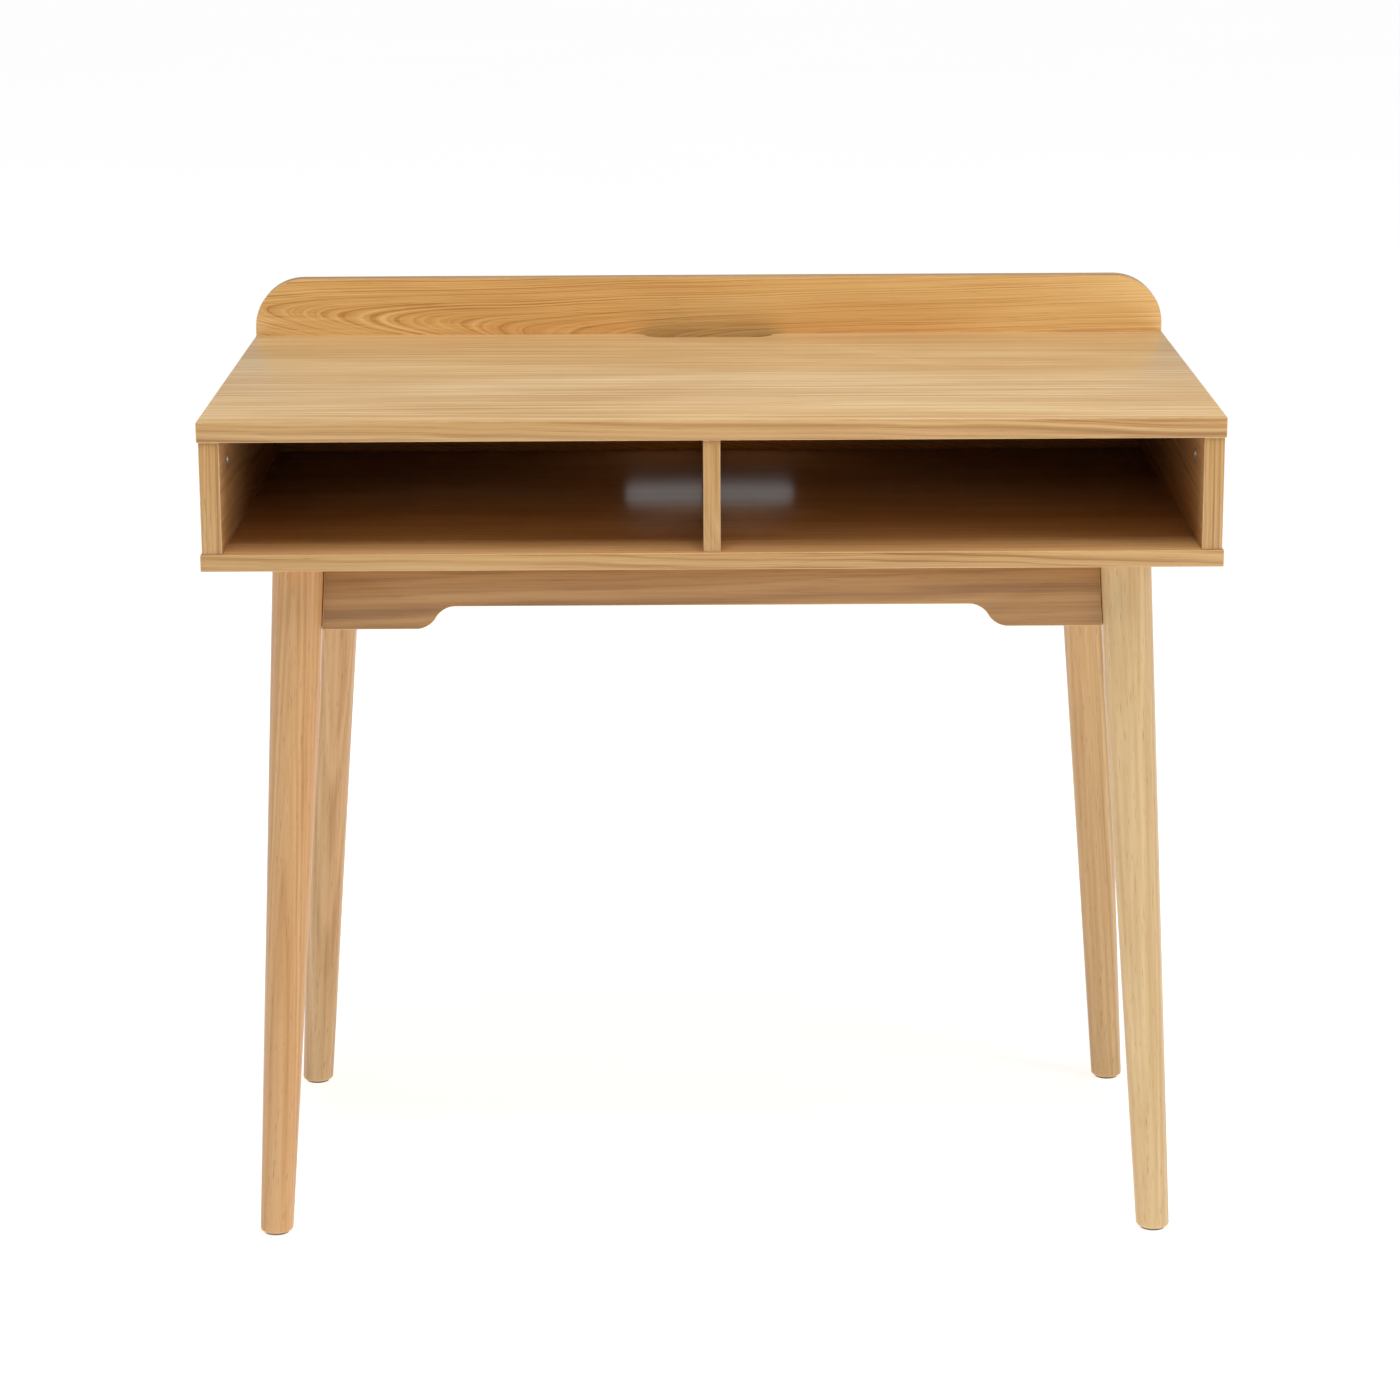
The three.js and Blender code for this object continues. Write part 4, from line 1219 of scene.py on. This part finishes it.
# %% Make the flange nuts
def flange_nut():
    """A hexagon nut with a sloped flange, at the origin, with its seat at the bottom."""
    bm = bmesh.new()
    bmesh.ops.create_cone(bm, cap_ends=True, segments=6, radius1=NUT_ACROSS / math.sqrt(3),
                          radius2=NUT_ACROSS / math.sqrt(3), depth=NUT_HEIGHT - 1 * MM)
    bmesh.ops.translate(bm, verts=bm.verts, vec=(0, 0, (NUT_HEIGHT + 1 * MM) / 2))
    rim = [e for e in bm.edges if min(v.co.z for v in e.verts) > NUT_HEIGHT - TOUCHING]
    bevel_edges(bm, rim, NUT_CHAMFER, 2)
    upright = [e for e in bm.edges if abs(e.verts[0].co.z - e.verts[1].co.z) > 3 * MM]
    bevel_edges(bm, upright, NUT_BREAK, 2)
    tidy_solid(bm)
    hexagon = place_piece("hexagon", bm, [screw_zinc], "zinc_steel")
    flange_profile = [
        (0, 0), (NUT_FLANGE_RADIUS - NUT_BREAK, 0), (NUT_FLANGE_RADIUS, NUT_BREAK),
        (NUT_FLANGE_RADIUS, NUT_FLANGE_EDGE), (NUT_SLOPE_RADIUS, NUT_FLANGE_TOP), (0, NUT_FLANGE_TOP),
    ]
    flange = master("flange", flange_profile, screw_zinc, FINE_ROUND)
    combine(hexagon, flange, "UNION")
    narrow = BOLT_RADIUS + NUT_BORE_GAP
    flared = BOLT_RADIUS + NUT_BORE_FLARE
    bore = [
        (0, -1 * MM), (flared, -1 * MM), (narrow, 0.5 * MM), (narrow, NUT_HEIGHT - 0.5 * MM),
        (flared, NUT_HEIGHT + 1 * MM), (0, NUT_HEIGHT + 1 * MM),
    ]
    return drill(hexagon, [(bore, ORIGIN, UP)], screw_zinc)


nut = flange_nut()
for corner, sx, sy in CORNERS:
    corner_point, inward, start, end = diagonal_reach(corner + "_flange_nut", sx, sy)
    copy_fitting(nut, corner + "_hexagon_nut", corner_point + inward * start, inward, "zinc_steel",
                 corner + "_flange_nut")
print("four flange nuts of", len(nut.data.polygons), "faces")
bpy.data.objects.remove(nut)

# %% [markdown]
# ## Cams and their bolts
#
# The desktop is held on the side panels by four cams. A cam is a die-cast disc in a bore; turning it with a
# screwdriver hooks it over the head of a bolt that hangs from the desktop. Only its face shows, with a
# rim, a cross and a shallow dish. The bolt hides in the panels, and a channel drilled up through the cam
# makes room for its head.

# %% Turn the cams and the cam bolts
CAM_RIM = 1.0 * MM
CAM_DISH = 0.5 * MM
CAM_CROSS_HALF = 4.5 * MM
CAM_CROSS_WIDTH = 0.8 * MM
CAM_CROSS_DEPTH = 2.0 * MM
CAM_BOLT_RADIUS = 3.0 * MM
CAM_BOLT_HEAD = 3.6 * MM
CAM_BOLT_HEAD_LENGTH = 3.0 * MM
CAM_BOLT_BREAK = 0.4 * MM
CAM_BOLT_THREAD = 11 * MM
CAM_BOLT_TOOTH = 0.6 * MM
CAM_BOLT_PITCH = 1.5 * MM
CAM_HOOK_GAP = 0.3 * MM
CAM_HOOK_RADIUS = CAM_BOLT_HEAD + CAM_HOOK_GAP
CAM_HOOK_LENGTH = CAM_RADIUS + CAM_BOLT_HEAD_LENGTH + 2 * CAM_HOOK_GAP

cam_profile = [
    (0, CAM_DISH), (CAM_RADIUS - CAM_RIM - 0.4 * MM, CAM_DISH), (CAM_RADIUS - CAM_RIM, 0),
    (CAM_RADIUS - 0.2 * MM, 0), (CAM_RADIUS, 0.2 * MM), (CAM_RADIUS, CAM_DEPTH), (0, CAM_DEPTH),
]
hook_channel = [
    (0, 0), (CAM_HOOK_RADIUS, 0), (CAM_HOOK_RADIUS, CAM_HOOK_LENGTH), (0, CAM_HOOK_LENGTH),
]
cam_disc = master("cam_disc", cam_profile, cam_zinc, FINE_ROUND)
press_cross(cam_disc, CAM_DISH, CAM_CROSS_HALF, CAM_CROSS_WIDTH, CAM_CROSS_DEPTH, cam_zinc)
for node, (place, direction) in cams.items():
    cam_piece = copy_fitting(cam_disc, node + "_disc", place, direction, "zinc_steel", node)
    low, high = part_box(node.replace("cam_", "cam_bolt_"))
    hook = Vector(((low.x + high.x) / 2, (low.y + high.y) / 2, low.z - CAM_HOOK_GAP))
    drill(cam_piece, [(hook_channel, hook, UP)], cam_zinc)
bpy.data.objects.remove(cam_disc)

bolt_low, bolt_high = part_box("cam_bolt_left_front")
cam_bolt_length = bolt_high.z - bolt_low.z
cam_thread_from = cam_bolt_length - CAM_BOLT_THREAD
neck = CAM_BOLT_RADIUS * 0.7
cam_bolt_profile = [
    (0, 0), (CAM_BOLT_HEAD - CAM_BOLT_BREAK, 0), (CAM_BOLT_HEAD, CAM_BOLT_BREAK),
    (CAM_BOLT_HEAD, CAM_BOLT_HEAD_LENGTH - CAM_BOLT_BREAK),
    (CAM_BOLT_HEAD - CAM_BOLT_BREAK, CAM_BOLT_HEAD_LENGTH),
    (neck, CAM_BOLT_HEAD_LENGTH + 1 * MM), (neck, 2 * CAM_BOLT_HEAD_LENGTH),
    (CAM_BOLT_RADIUS, 2 * CAM_BOLT_HEAD_LENGTH + 1 * MM), (CAM_BOLT_RADIUS, cam_thread_from),
    *thread_profile(cam_thread_from, cam_bolt_length, CAM_BOLT_RADIUS - CAM_BOLT_TOOTH, CAM_BOLT_TOOTH,
                    CAM_BOLT_PITCH),
    (0, cam_bolt_length),
]
cam_bolt = master("cam_bolt", cam_bolt_profile, screw_zinc, COARSE_ROUND)
for node in cams:
    bolt_node = node.replace("cam_", "cam_bolt_")
    low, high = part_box(bolt_node)
    foot = Vector(((low.x + high.x) / 2, (low.y + high.y) / 2, low.z))
    copy_fitting(cam_bolt, bolt_node + "_pin", foot, UP, "zinc_steel", bolt_node)
bpy.data.objects.remove(cam_bolt)
print("four cams and four cam bolts")

# %% [markdown]
# ## Panel screws
#
# A panel screw has a flat countersunk head with a hexagon socket and a coarse thread. The head is
# turned, and the socket is cut with a six-sided cone.

# %% Turn one panel screw and copy it
SCREW_LENGTH = 50 * MM
HEAD_BREAK = 0.3 * MM
SCREW_THREAD_FROM = 12 * MM
SCREW_TIP = 3 * MM
SCREW_TOOTH = 0.7 * MM
SCREW_PITCH = 3 * MM

screw_teeth = thread_profile(
    SCREW_THREAD_FROM, SCREW_LENGTH - SCREW_TIP, SCREW_SHANK - SCREW_TOOTH, SCREW_TOOTH, SCREW_PITCH)
screw_profile = [
    (0, 0), (SCREW_HEAD - HEAD_BREAK, 0), (SCREW_HEAD, HEAD_BREAK), (SCREW_HEAD, SCREW_HEAD_DEPTH / 2),
    (SCREW_SHANK, SCREW_HEAD_DEPTH), (SCREW_SHANK, SCREW_THREAD_FROM), *screw_teeth, (0, SCREW_LENGTH),
]
panel_screw = master("panel_screw", screw_profile, screw_zinc, ROUND)
socket_bm = bmesh.new()
bmesh.ops.create_cone(socket_bm, cap_ends=True, segments=6, radius1=SOCKET_RADIUS,
                      radius2=SOCKET_RADIUS, depth=2 * SOCKET_DEPTH)
subtract(panel_screw, socket_bm, screw_zinc)
for node, place in base_screws.items():
    copy_fitting(panel_screw, node + "_turned", place, UP, "zinc_steel", node)
for node, place in back_screws.items():
    copy_fitting(panel_screw, node + "_turned", place, (0, -1, 0), "zinc_steel", node)
bpy.data.objects.remove(panel_screw)
print(len(base_screws) + len(back_screws), "panel screws")

# %% [markdown]
# ## Dowels
#
# Six fluted beech dowels keep the desktop in line with the boards under it. They don't show once the desk is
# together, but they are real pieces. The flutes, which let glue and air out, are pressed by pulling every
# second column of a turned pin inwards.

# %% Turn and flute the dowels
dowel_material, dowel_tree, dowel_shader = new_material("dowel_beech")
dowel_space = grain_space(dowel_tree, "z")
dowel_flecks = fibres(dowel_tree, dowel_space, 60, 1200, 3.0)
dowel_colour = mix_colours(
    dowel_tree, remap(dowel_tree, dowel_flecks, 0.35, 0.65), tone(196, 158, 112), tone(222, 190, 146))
paint(dowel_tree, dowel_shader, dowel_colour, remap(dowel_tree, dowel_flecks, 0.3, 0.7, 0.6, 0.75))

DOWEL_RADIUS = 4.0 * MM
DOWEL_CHAMFER = 1.0 * MM
FLUTE_DEPTH = 0.35 * MM
FLUTES = 20
for node in [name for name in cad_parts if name.startswith("dowel_")]:
    low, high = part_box(node)
    foot = Vector(((low.x + high.x) / 2, (low.y + high.y) / 2, low.z))
    length = high.z - low.z
    bm = bmesh.new()
    bmesh.ops.create_cone(bm, cap_ends=True, segments=2 * FLUTES, radius1=DOWEL_RADIUS,
                          radius2=DOWEL_RADIUS, depth=length)
    rims = [e for e in bm.edges if abs(e.verts[0].co.z - e.verts[1].co.z) < TOUCHING]
    bevel_edges(bm, rims, DOWEL_CHAMFER, 1)
    for vert in bm.verts:
        column = round(math.atan2(vert.co.y, vert.co.x) / math.tau * 2 * FLUTES)
        if column % 2 and vert.co.xy.length > DOWEL_RADIUS * 0.9:
            vert.co.xy *= 1 - FLUTE_DEPTH / DOWEL_RADIUS
    bmesh.ops.translate(bm, verts=bm.verts, vec=foot + Vector((0, 0, length / 2)))
    place_piece(node + "_fluted", tidy_solid(bm), [dowel_material], "dowel_beech", node)
print("six dowels")
